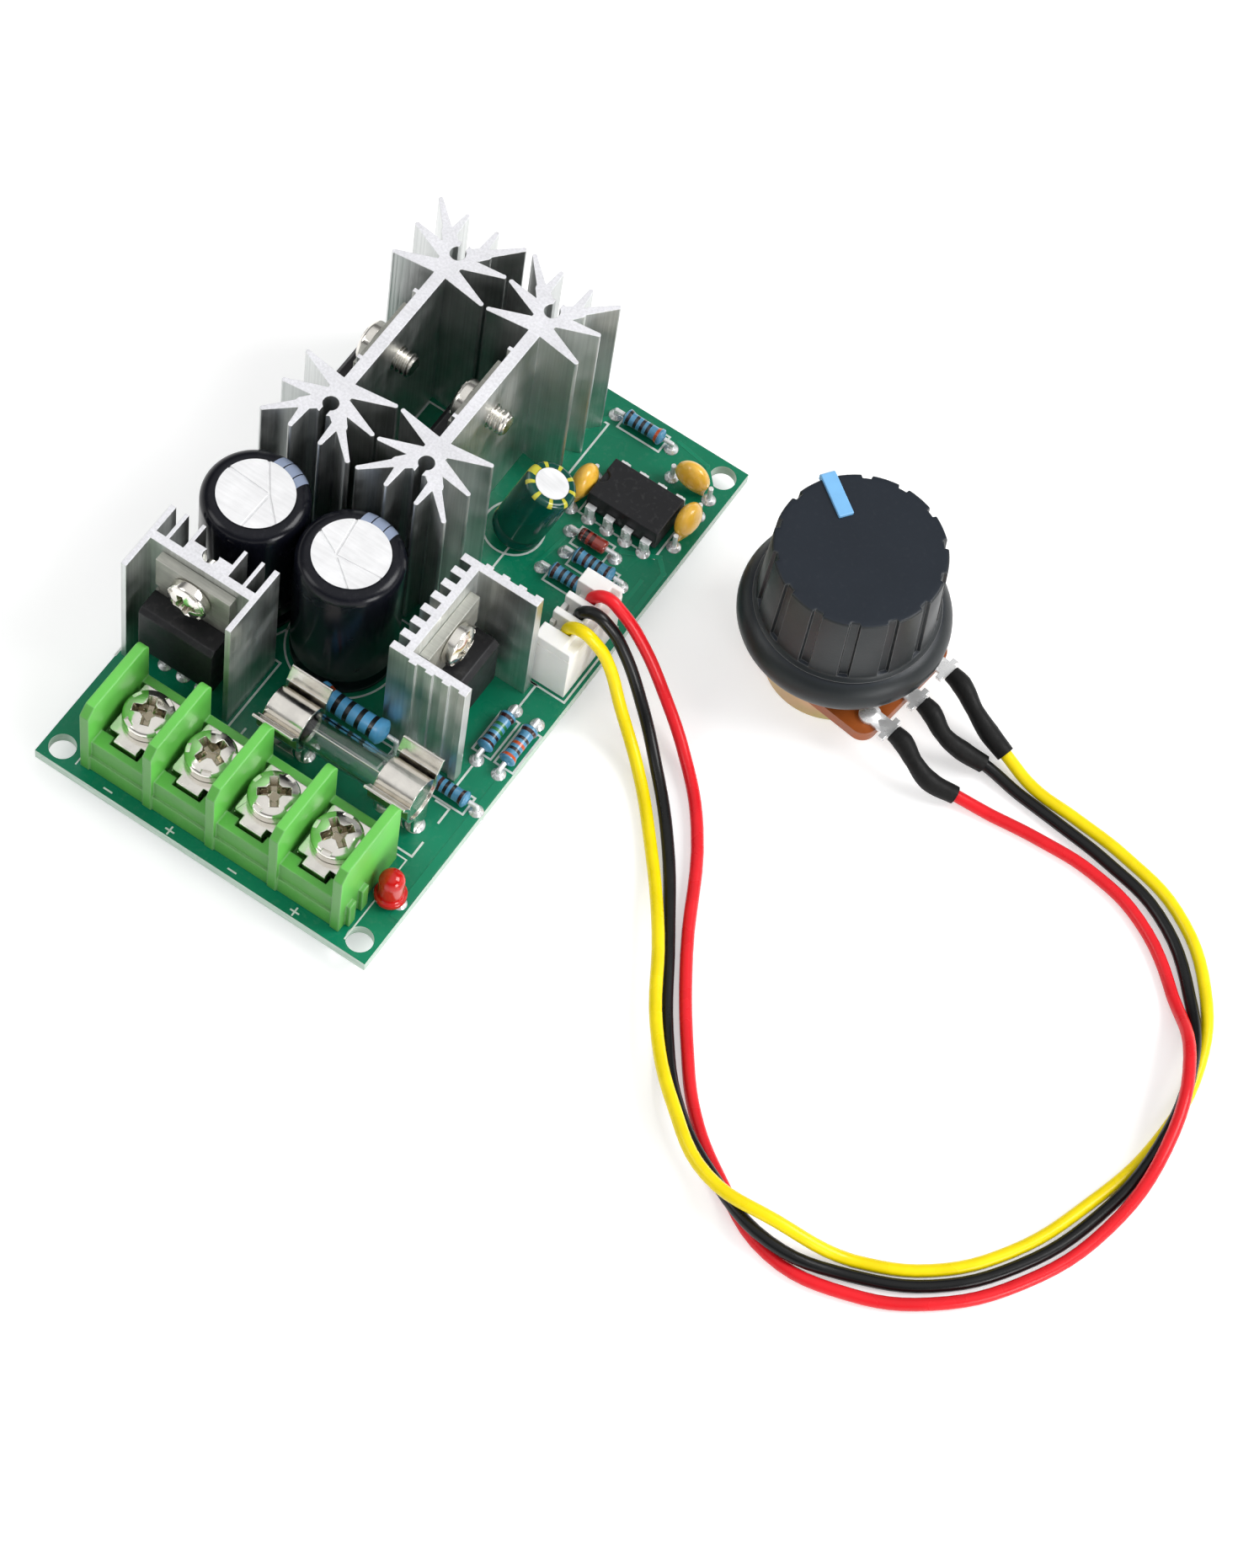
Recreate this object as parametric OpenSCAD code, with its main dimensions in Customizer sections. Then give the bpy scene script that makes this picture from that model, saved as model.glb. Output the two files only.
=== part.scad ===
// Direct current motor speed controller: a circuit board with four finned heat sinks,
// a four pole screw terminal and a rotary control on three loose wires.
// Millimetres, +Z up. The origin is the middle of the four mounting holes, on the
// underside of the board. The terminals face -Y and the control lies towards +X.

/* [Board] */
// Width of the circuit board
board_w = 45; // [44:0.5:60]
// Length of the circuit board
board_l = 78.5; // [78:0.5:100]
// Thickness of the circuit board
board_t = 1.6; // [1:0.1:3]
// Radius of a mounting hole
mount_r = 1.6; // [1:0.05:1.7]
// Distance from a mounting hole to both edges
mount_inset = 2.2; // [2:0.1:3]
// How far the soldered leads stand out under the board
lead_drop = 2; // [1.2:0.1:3]
// Radius of a thin lead
lead_r = 0.3; // [0.2:0.05:0.4]
// Radius of a thick pin
pin_r = 0.6; // [0.4:0.05:0.7]
// Width of the solder ring round a lead
solder_w = 0.6; // [0.3:0.05:0.7]
// Height of the solder cone under the board
solder_h = 1; // [0.5:0.1:1.1]

/* [Screw terminal] */
// Number of poles
poles = 4; // [2:1:4]
// Distance between two poles
pole_pitch = 8.5; // [8:0.1:8.6]
// Thickness of a fin between two poles
fin_t = 1.2; // [0.8:0.1:1.4]
// Height of the fins
fin_h = 12.8; // [11:0.1:16]
// Depth of the terminal body
block_d = 11.3; // [11:0.1:12]
// Distance from the front edge of the board to the terminal
block_set = 1.5; // [0.5:0.1:2]
// Height of the floor between the fins
floor_h = 4.6; // [4:0.1:5]
// Height of the front sill and the rear wall
sill_h = 6; // [5.5:0.1:7]
// Thickness of the front sill
sill_t = 2; // [1:0.1:2.2]
// How far the sill stands behind the front of the fins
sill_set = 0.5; // [0:0.1:1]
// Thickness of the rear wall
rear_t = 1.3; // [1:0.1:1.5]
// Thickness of the tapped metal base of a pole
base_t = 1.2; // [1:0.1:1.6]
// Width of the metal base of a pole
base_w = 6; // [5:0.1:6.4]
// Thickness of the wire clamp
clamp_t = 1; // [0.8:0.05:1.2]
// Width of the wire clamp
clamp_w = 5.8; // [5:0.1:6.2]
// Width of the tongue at the front of the clamp
tongue_w = 3; // [2:0.1:4]
// How far the clamp lifts when its screw is opened
clamp_lift = 2.5; // [1:0.1:3]
// Radius of the terminal screw's head
head_r = 3; // [2.5:0.05:3.1]
// Height of the terminal screw's head
head_h = 2.2; // [1.6:0.1:2.6]
// Radius of the terminal screw's shank
shank_r = 1.5; // [1.2:0.05:1.7]
// Length of the terminal screw's shank
shank_l = 5.4; // [4.5:0.1:5.6]

/* [Star heat sinks] */
// Height of a star heat sink
star_h = 25; // [23:0.5:35]
// Distance from the middle of a star to the tips of its fins, across
star_r = 6.1; // [5:0.1:6.3]
// Distance between the two stars of one heat sink
star_span = 24.9; // [24:0.1:28]
// Thickness of the plate between two stars
plate_t = 1.5; // [1:0.1:2]
// Radius of the groove for the solder pin
groove_r = 0.95; // [0.8:0.05:1]
// Distance between the two star heat sinks
star_gap = 12.9; // [12.8:0.1:14]
// Height of the transistor screw over the board
star_screw_z = 19.5; // [19:0.5:22]

/* [Small heat sinks] */
// Height of the left small heat sink
left_sink_h = 20.6; // [20.5:0.1:26]
// Height of the right small heat sink
right_sink_h = 20; // [19:0.5:26]
// Width of a small heat sink
sink_w = 14.7; // [14:0.1:15]
// Depth of the left small heat sink
sink_d = 9.3; // [9:0.1:10]
// Wall thickness of the left small heat sink
sink_wall = 0.7; // [0.5:0.05:1]
// Thickness of the web of the left small heat sink
web_t = 1.1; // [0.8:0.1:1.5]
// Depth of the right small heat sink
comb_d = 10.3; // [10:0.1:11]
// Wall thickness of the right small heat sink
comb_wall = 1; // [0.8:0.1:1.1]
// Length of the teeth of the right small heat sink
tooth_l = 1.5; // [1:0.1:1.6]
// Number of teeth on the right small heat sink
teeth = 8; // [5:1:8]
// Height of the left transistor screw over the board
left_screw_z = 16.6; // [14.5:0.1:17]
// Height of the right transistor screw over the board
right_screw_z = 14.6; // [14.5:0.1:16]

/* [Transistors] */
// Width of a transistor
case_w = 10; // [9.8:0.1:10.2]
// Height of a transistor's plastic case
case_h = 9; // [8.5:0.1:9.2]
// Thickness of a transistor's plastic case
case_t = 3.2; // [3:0.1:3.3]
// Thickness of a transistor's metal tab
tab_t = 1.3; // [1:0.1:1.4]
// Height of a transistor's metal tab
tab_h = 15.6; // [15.2:0.1:15.8]
// Distance from the top of the tab to its screw hole
tab_hole_drop = 2.8; // [2.5:0.1:3]
// Distance between two transistor leads
lead_pitch = 2.54; // [2.4:0.02:2.6]
// Radius of a transistor screw's head
tab_head_r = 2.6; // [2.4:0.1:2.8]
// Radius of a transistor screw's shank
tab_shank_r = 1.5; // [1.2:0.05:1.5]
// How far a transistor screw stands out behind its heat sink
tab_shank_out = 2.2; // [1:0.1:2.4]

/* [Capacitors] */
// Radius of a large capacitor
can_r = 6.25; // [5:0.05:6.35]
// Height of a large capacitor
can_h = 21; // [15:0.5:30]
// Distance between the two large capacitors
can_gap = 12.9; // [12.8:0.1:13]
// Radius of the small capacitor
small_can_r = 3.15; // [2.5:0.05:3.3]
// Height of the small capacitor
small_can_h = 10.5; // [8:0.5:12]
// Lean of the small capacitor from upright
small_can_lean = 19; // [0:1:22]
// Radius of a ceramic capacitor's disc
disc_r = 2.3; // [2:0.1:2.5]
// Thickness of a ceramic capacitor's disc
disc_t = 2.6; // [1.6:0.1:2.8]

/* [Fuse] */
// Length of the fuse
fuse_l = 20; // [18:0.5:22]
// Radius of the fuse's metal caps
fuse_r = 2.6; // [2.4:0.05:2.7]
// Length of a metal cap
fuse_cap_l = 5; // [4:0.1:5.5]
// Height of the fuse's axis over the board
fuse_z = 6.6; // [6:0.1:8]
// Thickness of the clip's spring metal
clip_t = 0.4; // [0.3:0.05:0.5]
// Width of a clip along the fuse
clip_w = 5.4; // [4:0.1:6]
// How far the fuse lifts out of its clips
fuse_lift = 12; // [6:0.5:20]

/* [Small parts] */
// Radius of a small resistor
res_r = 1.05; // [0.8:0.05:1.2]
// Length of a small resistor's body
res_l = 5.6; // [5:0.1:6]
// Distance between the leads of a small resistor
res_span = 7.8; // [7.4:0.1:8]
// Radius of the power resistor
power_r = 1.6; // [1.2:0.1:1.7]
// Length of the power resistor's body
power_l = 10; // [9:0.5:11]
// Height of the power resistor's axis over the board
power_z = 4.2; // [3:0.1:5]
// Length of the chip
chip_l = 9.6; // [9:0.1:10]
// Width of the chip
chip_w = 6.4; // [6:0.1:6.6]
// Distance between the two rows of chip pins
chip_rows = 7.62; // [7.6:0.02:7.9]
// Radius of the lamp
led_r = 1.5; // [1.2:0.1:1.6]
// Height of the lamp
led_h = 5; // [4:0.1:6]

/* [Connector] */
// Distance between two wires at the connector
wire_pitch = 2.5; // [2.4:0.05:2.6]
// Length of the header
header_l = 11; // [10.5:0.1:11.5]
// Width of the header
header_w = 4.9; // [4.8:0.1:5.8]
// Height of the header
header_h = 8; // [6:0.1:8]
// Height of the plug's top over the board
plug_top = 9.6; // [9.4:0.1:11]
// Radius of a wire with its insulation
wire_r = 0.75; // [0.6:0.05:0.75]
// Radius of the sleeves over the soldered wire ends
sleeve_r = 1.25; // [1:0.05:1.3]

/* [Rotary control] */
// Radius of the control's metal can
can2_r = 8.1; // [7.5:0.1:8.5]
// Height of the control's metal can
can2_h = 3.8; // [3.4:0.1:5]
// Wall thickness of the metal can
can2_wall = 0.4; // [0.3:0.05:0.6]
// Thickness of the brown wafer
wafer_t = 1.6; // [1:0.1:2]
// Distance from the shaft to the wafer's straight edge
wafer_reach = 10.8; // [10.6:0.1:11.4]
// Thickness of the front plate
front_t = 1.8; // [1.5:0.1:2]
// Distance between two solder lugs
lug_pitch = 5.3; // [5:0.1:5.6]
// Distance from the shaft to the end of the lugs
lug_reach = 12.6; // [12.4:0.1:13]
// Radius of the threaded bushing
bush_r = 3.45; // [3.4:0.05:3.8]
// Height of the threaded bushing
bush_h = 6; // [5:0.1:8]
// Radius of the shaft
shaft_r = 3; // [2.5:0.05:3]
// Width of the nut across its flats
nut_w = 10; // [9:0.1:10.5]
// Thickness of the nut
nut_t = 1.6; // [1:0.1:1.8]
// Direction of the lugs, turned from +X
control_turn = -7; // [-20:1:20]

/* [Knob] */
// Radius of the knob's top
knob_top_r = 9.95; // [9:0.05:10.2]
// Radius of the knob's grip above the skirt
knob_low_r = 10.4; // [10.3:0.05:10.8]
// Radius of the knob's skirt
skirt_r = 12.4; // [11.8:0.05:13]
// Height of the knob
knob_h = 16.5; // [14:0.1:20]
// Height of the skirt
skirt_h = 5.6; // [3:0.1:6]
// Gap between the front plate and the knob
knob_gap = 1.6; // [0.5:0.1:2]
// Number of grooves round the grip
grooves = 14; // [8:1:18]
// Width of a groove
groove_w = 1.3; // [0.8:0.1:1.6]
// Depth of a groove
groove_d = 0.3; // [0.2:0.05:0.5]
// Width of the pointer
pointer_w = 1.8; // [1:0.1:2.5]
// Length of the pointer
pointer_l = 5.4; // [4:0.1:7]
// How far the pointer stands above the knob
pointer_rise = 0.4; // [0.2:0.1:0.8]
// Direction of the pointer at rest, turned from +X
pointer_turn = 144; // [60:1:300]

/* [Hidden] */
$fn = 48;

// Named clearances and small allowances
run_gap = 0.05;     // radial clearance of a turning or sliding fit
seat_gap = 0.02;    // clearance between pieces that sit on or beside each other
over = 0.4;         // overrun of every cut past its face
sink_clear = 0.28;  // clearance between the power resistor and the right small heat sink
header_clear = 1.25; // clearance between that heat sink and the header
edge = 0.3;         // small bevel on moulded and metal edges

// Places on the board, as shares of its width and length from the front left corner. The
// last part of a rear share counts from the back of the header to the back of the board.
left_can_share = [0.160, 0.400];
star_share = [0.330, 0.7165];
sink_left_share = [0.173, 0.263];
sink_right_share = 0.777;
fuse_share = [0.667, 0.223];
power_share = [0.597, 0.292];
small_can_share = [0.609, 0.708];
chip_rear_share = [0.822, 0.5334];
lamp_share = [0.946, 0.107];
diode_rear_share = [0.789, 0.2927];
connector_share = 0.9237;
resistor_rear_shares = [[0.707, 0.9061], [0.831, 0.19], [0.807, 0.0667]];
resistor_shares = [[0.896, 0.292], [0.902, 0.410], [0.969, 0.410]];
resistor_turns = [0, 0, 0, 0, 90, 90];
ceramic_rear_shares = [[0.682, 0.4864], [0.900, 0.7857], [0.962, 0.5921]];
ceramic_turns = [90, 0, 90];
screw_turns = [20, 68, 35, 52];
ceramic_span = 5.2;
ceramic_z = board_t + disc_r + edge;
res_z = board_t + res_r + seat_gap;
lamp_span = 2.54;
can_lead_span = 5;
small_can_lead_span = 2.5;
small_can_axis = [-3, 4, 0] / 5;
small_can_z = board_t + small_can_r * sin(small_can_lean) + 2 * seat_gap;
diode_span = 6.2;
diode_r = 0.9;
diode_l = 3.6;
block_offset = 0.25;

block_w = poles * pole_pitch + fin_t;
block_x = -block_w / 2 + block_offset;
block_y = -board_l / 2 + block_set;
base_z = board_t + floor_h;
base_top = base_z + base_t;
clamp_z = base_top + seat_gap;
clamp_top = clamp_z + clamp_t;
cup_low = clamp_top + seat_gap - shank_l - 2 * edge;
pole_y = block_y + sill_set + sill_t + (block_d - sill_set - sill_t - rear_t) / 2;
clamp_d = block_d - sill_set - sill_t - rear_t - 2 * edge;
floor_z = -lead_drop;

function place(share) = [board_w * (share[0] - 1 / 2), board_l * (share[1] - 1 / 2)];
function place_x(share) = board_w * (share - 1 / 2);
function pole_x(i) = block_x + fin_t / 2 + pole_pitch * (i + 1 / 2);
function turned(p, a) = [p[0] * cos(a) - p[1] * sin(a), p[0] * sin(a) + p[1] * cos(a)];
function both(c, span, a) = [for (s = [-1, 1]) c + turned([s * span / 2, 0], a)];
function row(c, pitch, n, a) =
    [for (i = [0 : n - 1]) c + turned([(i - (n - 1) / 2) * pitch, 0], a)];

// Heat sinks: middle of each mounting face, height of its screw, and its turn
star_x = [for (s = [0, 1]) place(star_share)[0] + (s - 1 / 2) * star_gap];
star_y = place(star_share)[1];
sink_face_y = place(sink_left_share)[1] - web_t / 2;
power_place = place(power_share);
right_sink_place = [place_x(sink_right_share),
    power_place[1] + power_r + sink_clear + sink_w / 2];
header_place = [place_x(connector_share),
    right_sink_place[1] + sink_w / 2 + header_clear + header_l / 2];
header_back = header_place[1] + header_l / 2;
function rear(share) =
    [place_x(share[0]), header_back + (board_l / 2 - header_back) * share[1]];
comb_face_x = right_sink_place[0] - comb_d / 2 + tooth_l + comb_wall;
seats = [[place(sink_left_share)[0], sink_face_y, left_screw_z],
    [comb_face_x, right_sink_place[1], right_screw_z],
    [star_x[0] - plate_t / 2, star_y, star_screw_z],
    [star_x[1] - plate_t / 2, star_y, star_screw_z]];
seat_turns = [-90, 0, 180, 180];
seat_depths = [web_t, comb_wall, plate_t, plate_t];
tab_lead_set = tab_t + case_t * 5 / 12;
tab_front = tab_t + 2 * seat_gap;

// Lead places in the board, thin leads first and then thick pins
can_places = both(place(left_can_share) + [can_gap / 2, 0], can_gap, 0);
small_can_place = place(small_can_share);
seat_leads = [for (i = [0 : len(seats) - 1])
    each row([seats[i][0], seats[i][1]] + turned([tab_lead_set, 0], seat_turns[i]),
        lead_pitch, 3, seat_turns[i] + 90)];
can_leads = [for (c = can_places) each both(c, can_lead_span, 90)];
small_can_leads = both(small_can_place, small_can_lead_span, 0);
resistor_places = [for (s = resistor_rear_shares) rear(s), for (s = resistor_shares) place(s)];
resistor_leads = [for (i = [0 : len(resistor_places) - 1])
    each both(resistor_places[i], res_span, resistor_turns[i])];
ceramic_places = [for (s = ceramic_rear_shares) rear(s)];
ceramic_leads = [for (i = [0 : len(ceramic_places) - 1])
    each both(ceramic_places[i], ceramic_span, ceramic_turns[i])];
diode_place = rear(diode_rear_share);
diode_leads = both(diode_place, diode_span, 0);
power_span = power_l + 4 * lead_r + 4 * edge;
power_leads = both(power_place, power_span, 0);
lamp_leads = both(place(lamp_share), lamp_span, 0);
chip_place = rear(chip_rear_share);
chip_leads = [for (s = [-1, 1]) each row(chip_place + [0, s * chip_rows / 2], lead_pitch, 4, 0)];
header_leads = row(header_place, wire_pitch, 3, 90);
open_leads = concat(seat_leads, small_can_leads, resistor_leads, ceramic_leads,
    diode_leads, power_leads, lamp_leads, chip_leads);
covered_leads = concat(can_leads, header_leads);
fuse_place = place(fuse_share);
clip_x = fuse_l / 2 - fuse_cap_l / 2;
clip_pins = [for (c = both(fuse_place, 2 * clip_x, 0)) each both(c, clip_w - 2 * pin_r, 0)];
terminal_pins = [for (i = [0 : poles - 1]) [pole_x(i), pole_y]];
star_pins = [for (x = star_x) each both([x, star_y], star_span, 90)];
sink_pin = [place(sink_left_share)[0], sink_face_y + web_t + groove_r];
open_pins = concat(clip_pins, terminal_pins);
covered_pins = concat(star_pins, [sink_pin]);

// Rotary control: its shaft's place on the floor plane, and its levels
control_place = [43, 26];
can2_top = floor_z + can2_h;
wafer_top = can2_top + wafer_t;
front_top = wafer_top + front_t;
knob_z = front_top + knob_gap;
knob_top = knob_z + knob_h;
lug_t = 0.4;
lug_w = 2;
lug_head_w = 3.3;
lug_head_l = 1;
lug_z = wafer_top + seat_gap / 2;
rivet_r = 1.3;
rivet_x = can2_r - edge + rivet_r + seat_gap;
function from_control(p) = control_place + turned(p, control_turn);
function lug_end(i) =
    concat(from_control([lug_reach + seat_gap, (i - 1) * lug_pitch]), lug_z + lug_t / 2);

// Routes of the three wires and of the sleeves over their ends, as placed by hand
plug_mouth = board_t + plug_top - edge;
yellow_points = [[20.5, 4.5, 12.4], [24, 5, 9], [28, 3.5, 3], [33, 0, -0.5],
    [39, -6.5, -1], [52.5, -26, 0.6], [59.5, -33.5, 2], [67, -38.4, 2.4],
    [76, -38.4, 2.2], [85, -36, -1.2], [92.5, -32, -1.2], [98.5, -25, -1.2], [102.5, -15.5, -1.2],
    [105, -4.5, -1.2], [104.2, 6.5, -1.2], [100, 15, -1.2], [92.5, 21.5, -1.2],
    [77, 24.8, -1.2], [71, 25.2, -1]];
black_points = [[20.5, 7.2, 12.4], [24.5, 7.5, 9], [29.5, 5.5, 3], [34.5, 1.5, -0.5],
    [41, -5.8, -1.2], [53.5, -25, -1.2], [60, -32.8, 0.2], [67, -37.2, 0.5],
    [76.5, -40.2, 0.5], [85.5, -37.7, -1.2], [93.5, -33.5, -1.2], [100, -26, -1.2],
    [104.2, -16, -0.9], [105.6, -5.5, 0.6], [103.5, 5.5, 0.6], [98.8, 13.4, -1.2],
    [91, 19.9, -1.2], [76, 23, -1.2], [70, 23.6, -1.2]];
red_points = [[20.5, 9.7, 12.4], [25.5, 9.6, 9], [31, 8, 3], [36.5, 4.5, -0.5],
    [42.5, -2, -1.2], [56.5, -25.5, -1.2], [61.5, -31.6, -1.2], [67.5, -36.2, -1.2],
    [77, -40.8, -1.2], [86.5, -39.6, -1.2], [94.5, -35.3, -1.2], [101.4, -27.4, -1.2],
    [105.8, -16.8, -0.6], [106.4, -6, 2.3], [103, 5, 2.3], [97.5, 12, -1.2],
    [89.5, 18, -1.2], [75, 20, -1.2], [69, 19.4, -1.2]];
sleeve_ends = [[64.2, 18.7, -0.4], [64.8, 24.1, -0.4], [66.2, 26.6, -0.2]];
red_sleeve_points = [[56.3, 19, 3.3], [58.5, 18.2, 2.2], [61, 17.9, 0.7]];
black_sleeve_points = [[56.9, 24.2, 3.3], [59.4, 23.2, 2.2], [62, 23.5, 0.7]];
yellow_sleeve_points = [[57.8, 29.4, 3.3], [60.7, 28.1, 2.1], [63.3, 27.3, 0.8]];

// A tube of one radius, swept along a list of points
tube_sides = 8;
function unit(v) = v / norm(v);
function along(p, i) = unit(p[min(i + 1, len(p) - 1)] - p[max(i - 1, 0)]);
function across(d) = unit(cross([0, 0, 1] + [d[2] / 9, d[2] / 9, 0], d));
function ring(p, i, r) = let (d = along(p, i), u = across(d), v = cross(d, u))
    [for (k = [0 : tube_sides - 1]) let (a = 360 * (k + 1 / 2) / tube_sides)
        p[i] + r * (cos(a) * u + sin(a) * v)];
module tube(p, r) {
    n = len(p);
    s = tube_sides;
    polyhedron(points = [for (i = [0 : n - 1]) each ring(p, i, r)],
        faces = concat([[for (k = [0 : s - 1]) k]],
            [[for (k = [s - 1 : -1 : 0]) (n - 1) * s + k]],
            [for (i = [0 : n - 2], k = [0 : s - 1], h = [0, 1])
                h == 0 ? [i * s + k, (i + 1) * s + k, i * s + (k + 1) % s]
                : [i * s + (k + 1) % s, (i + 1) * s + k, (i + 1) * s + (k + 1) % s]]));
}

// Shapes that several pieces share
module slab(w, d, h, r) {
    linear_extrude(h) rounded(w, d, r);
}
module rounded(w, d, r) {
    square([w - 2 * r, d], center = true);
    square([w, d - 2 * r], center = true);
    for (x = [-1, 1], y = [-1, 1]) translate([x * (w / 2 - r), y * (d / 2 - r)]) circle(r);
}
module block(w, d, h) {
    translate([-w / 2, -d / 2, 0]) cube([w, d, h]);
}
module rod(h, r) {
    cylinder(h, r, r);
}
module drill(h, r) {
    translate([0, 0, -over]) rod(h + 2 * over, r);
}
module at(p, z) {
    translate([p[0], p[1], z]) children();
}
module domed_head(r, h, slot_w) {
    dome = r * r / h;
    difference() {
        intersection() {
            cylinder(h, r, r);
            translate([0, 0, h - dome]) sphere(dome);
        }
        translate([0, 0, h * 2 / 3]) for (a = [0, 90]) rotate(a) block(r * 5 / 4, slot_w, h);
        translate([0, 0, h * 2 / 3]) for (a = [45, 135]) rotate(a) block(r * 2 / 3, slot_w * 2 / 3, h);
    }
}
module tapered_bar(p, q, wp, wq) {
    d = unit(q - p);
    n = [-d[1], d[0]] / 2;
    polygon([p + n * wp, p - n * wp, q - n * wq, q + n * wq]);
    translate(q) circle(wq / 2 + seat_gap);
}

module board() {
    color("seagreen") difference() {
        block(board_w, board_l, board_t);
        for (x = [-1, 1], y = [-1, 1])
            translate([x * (board_w / 2 - mount_inset), y * (board_l / 2 - mount_inset), -over])
                rod(board_t + 2 * over, mount_r);
        for (p = concat(open_leads, covered_leads)) at(p, 0) drill(board_t, lead_r * 2);
        for (p = concat(open_pins, covered_pins)) at(p, 0) drill(board_t, pin_r * 5 / 4);
    }
}
module solder_ring(r, bore, open) {
    in_r = r + seat_gap / 2;
    out_r = bore - seat_gap / 2;
    wide = r + solder_w;
    lip = solder_w / 3;
    collar = [[wide, board_t + seat_gap / 2], [in_r + lip, board_t + lip * 2], [in_r, board_t + lip * 2]];
    rotate_extrude() polygon(concat([[in_r, -solder_h], [in_r + lip, -solder_h], [wide, -seat_gap / 2],
        [out_r, -seat_gap / 2], [out_r, board_t + (open ? seat_gap / 2 : 0)]],
        open ? collar : [[in_r, board_t]]));
}
module solder_joints() {
    color("silver") {
        for (p = open_leads) at(p, 0) solder_ring(lead_r, lead_r * 2, true);
        for (p = covered_leads) at(p, 0) solder_ring(lead_r, lead_r * 2, false);
        for (p = open_pins) at(p, 0) solder_ring(pin_r, pin_r * 5 / 4, true);
        for (p = covered_pins) at(p, 0) solder_ring(pin_r, pin_r * 5 / 4, false);
    }
}

module fin_outline() {
    r = fin_t;
    difference() {
        union() {
            square([block_d - r, fin_h]);
            square([block_d, fin_h - r]);
            translate([block_d - r, fin_h - r]) circle(r);
        }
        translate([0, fin_h]) rotate(45) square(2 * fin_t / sqrt(2), center = true);
    }
}
module terminal_body() {
    color("limegreen") translate([block_x, block_y, board_t]) difference() {
        union() {
            translate([0, sill_set, 0]) cube([block_w, block_d - sill_set - edge, floor_h]);
            translate([0, sill_set, 0]) cube([block_w, sill_t, sill_h]);
            translate([0, sill_set - edge, 0]) cube([block_w, sill_t, sill_h / 2]);
            translate([0, block_d - rear_t, 0]) cube([block_w, rear_t - edge / 2, sill_h]);
            for (k = [1, 3]) translate([block_w - fin_t / 2, k * fin_t, 0]) cube([fin_t, fin_t, floor_h]);
            for (i = [0 : poles])
                translate([i * pole_pitch + fin_t, 0, 0]) rotate([90, 0, -90])
                    mirror([1, 0, 0]) linear_extrude(fin_t) fin_outline();
        }
        for (i = [0 : poles - 1]) translate([fin_t / 2 + pole_pitch * (i + 1 / 2), 0, 0]) {
            translate([0, pole_y - block_y, 0 - over]) rod(floor_h + 2 * over, shank_r + over);
            translate([-tongue_w / 2 - over, sill_set + sill_t / 2, floor_h - base_t])
                cube([tongue_w + 2 * over, sill_t, sill_h]);
        }
    }
}
module terminal_bases() {
    color("gainsboro") for (i = [0 : poles - 1]) translate([pole_x(i), pole_y, 0]) {
        difference() {
            translate([0, 0, base_z]) block(base_w, clamp_d - edge, base_t);
            translate([0, 0, base_z - over]) rod(base_t + 2 * over, shank_r + run_gap);
        }
        translate([0, 0, -lead_drop]) rod(lead_drop + cup_low + edge, pin_r);
        translate([0, 0, cup_low]) difference() {
            rod(base_z + base_t / 2 - cup_low, shank_r + over - seat_gap);
            translate([0, 0, edge]) rod(floor_h + base_t, shank_r + run_gap);
        }
    }
}
module terminal_clamp(i) {
    drop = clamp_t + base_t * 2 / 3;
    color("silver") translate([pole_x(i), pole_y, clamp_z]) difference() {
        union() {
            slab(clamp_w, clamp_d, clamp_t, edge);
            translate([0, -clamp_d / 2, 0]) block(tongue_w, sill_t, clamp_t);
            translate([0, -clamp_d / 2 - (sill_t + edge) / 4, clamp_t - drop])
                block(tongue_w, sill_t / 2, drop - edge / 2);
        }
        drill(clamp_t, shank_r + run_gap);
    }
}
module terminal_screw(i) {
    color("silver") translate([pole_x(i), pole_y, clamp_top + seat_gap]) rotate(screw_turns[i]) {
        domed_head(head_r, head_h, head_r / 3);
        translate([0, 0, -shank_l]) rod(shank_l, shank_r);
    }
}

module clip_outline() {
    in_r = fuse_r + seat_gap;
    out_r = in_r + clip_t;
    difference() {
        union() {
            circle(out_r);
            for (s = [-1, 1]) translate([s * (in_r + clip_t / 2) - clip_t / 2, 0])
                square([clip_t, in_r * 3 / 4]);
        }
        circle(in_r);
        translate([-in_r, 0]) square([2 * in_r, out_r + over]);
    }
    for (s = [-1, 1]) tapered_bar([s * (in_r + clip_t / 2), in_r * 2 / 3],
        [s * (out_r + clip_t * 2), in_r * 5 / 4], clip_t, clip_t);
    translate([-in_r / 2, -out_r - clip_t / 2]) square([in_r, clip_t]);
}
module fuse_clips() {
    foot = fuse_z - fuse_r - seat_gap - 3 / 2 * clip_t;
    color("silver") for (s = [-1, 1]) translate([fuse_place[0] + s * clip_x, fuse_place[1], board_t]) {
        translate([-clip_w / 2, 0, fuse_z]) rotate([90, 0, 90]) linear_extrude(clip_w) clip_outline();
        difference() {
            block(clip_w, fuse_r, foot + clip_t / 2);
            translate([0, 0, solder_w]) block(clip_w - 2 * clip_t, fuse_r + 2 * over, foot - solder_w);
            for (x = [-1, 1]) translate([x * (clip_w / 2 - pin_r), 0, -over])
                rod(over + solder_w, solder_w * 2 + edge);
        }
        for (x = [-1, 1]) translate([x * (clip_w / 2 - pin_r), 0, -board_t - lead_drop])
            rod(board_t + lead_drop + solder_w, pin_r);
    }
}
module along_fuse() {
    translate([fuse_place[0], fuse_place[1], board_t + fuse_z]) rotate([0, 90, 0]) children();
}
module fuse_glass() {
    glass_r = fuse_r - clip_t;
    color("lightcyan", 0.5) along_fuse() difference() {
        cylinder(fuse_l - 2 * clip_t, glass_r, glass_r, center = true);
        cylinder(fuse_l, glass_r - clip_t, glass_r - clip_t, center = true);
    }
}
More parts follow.
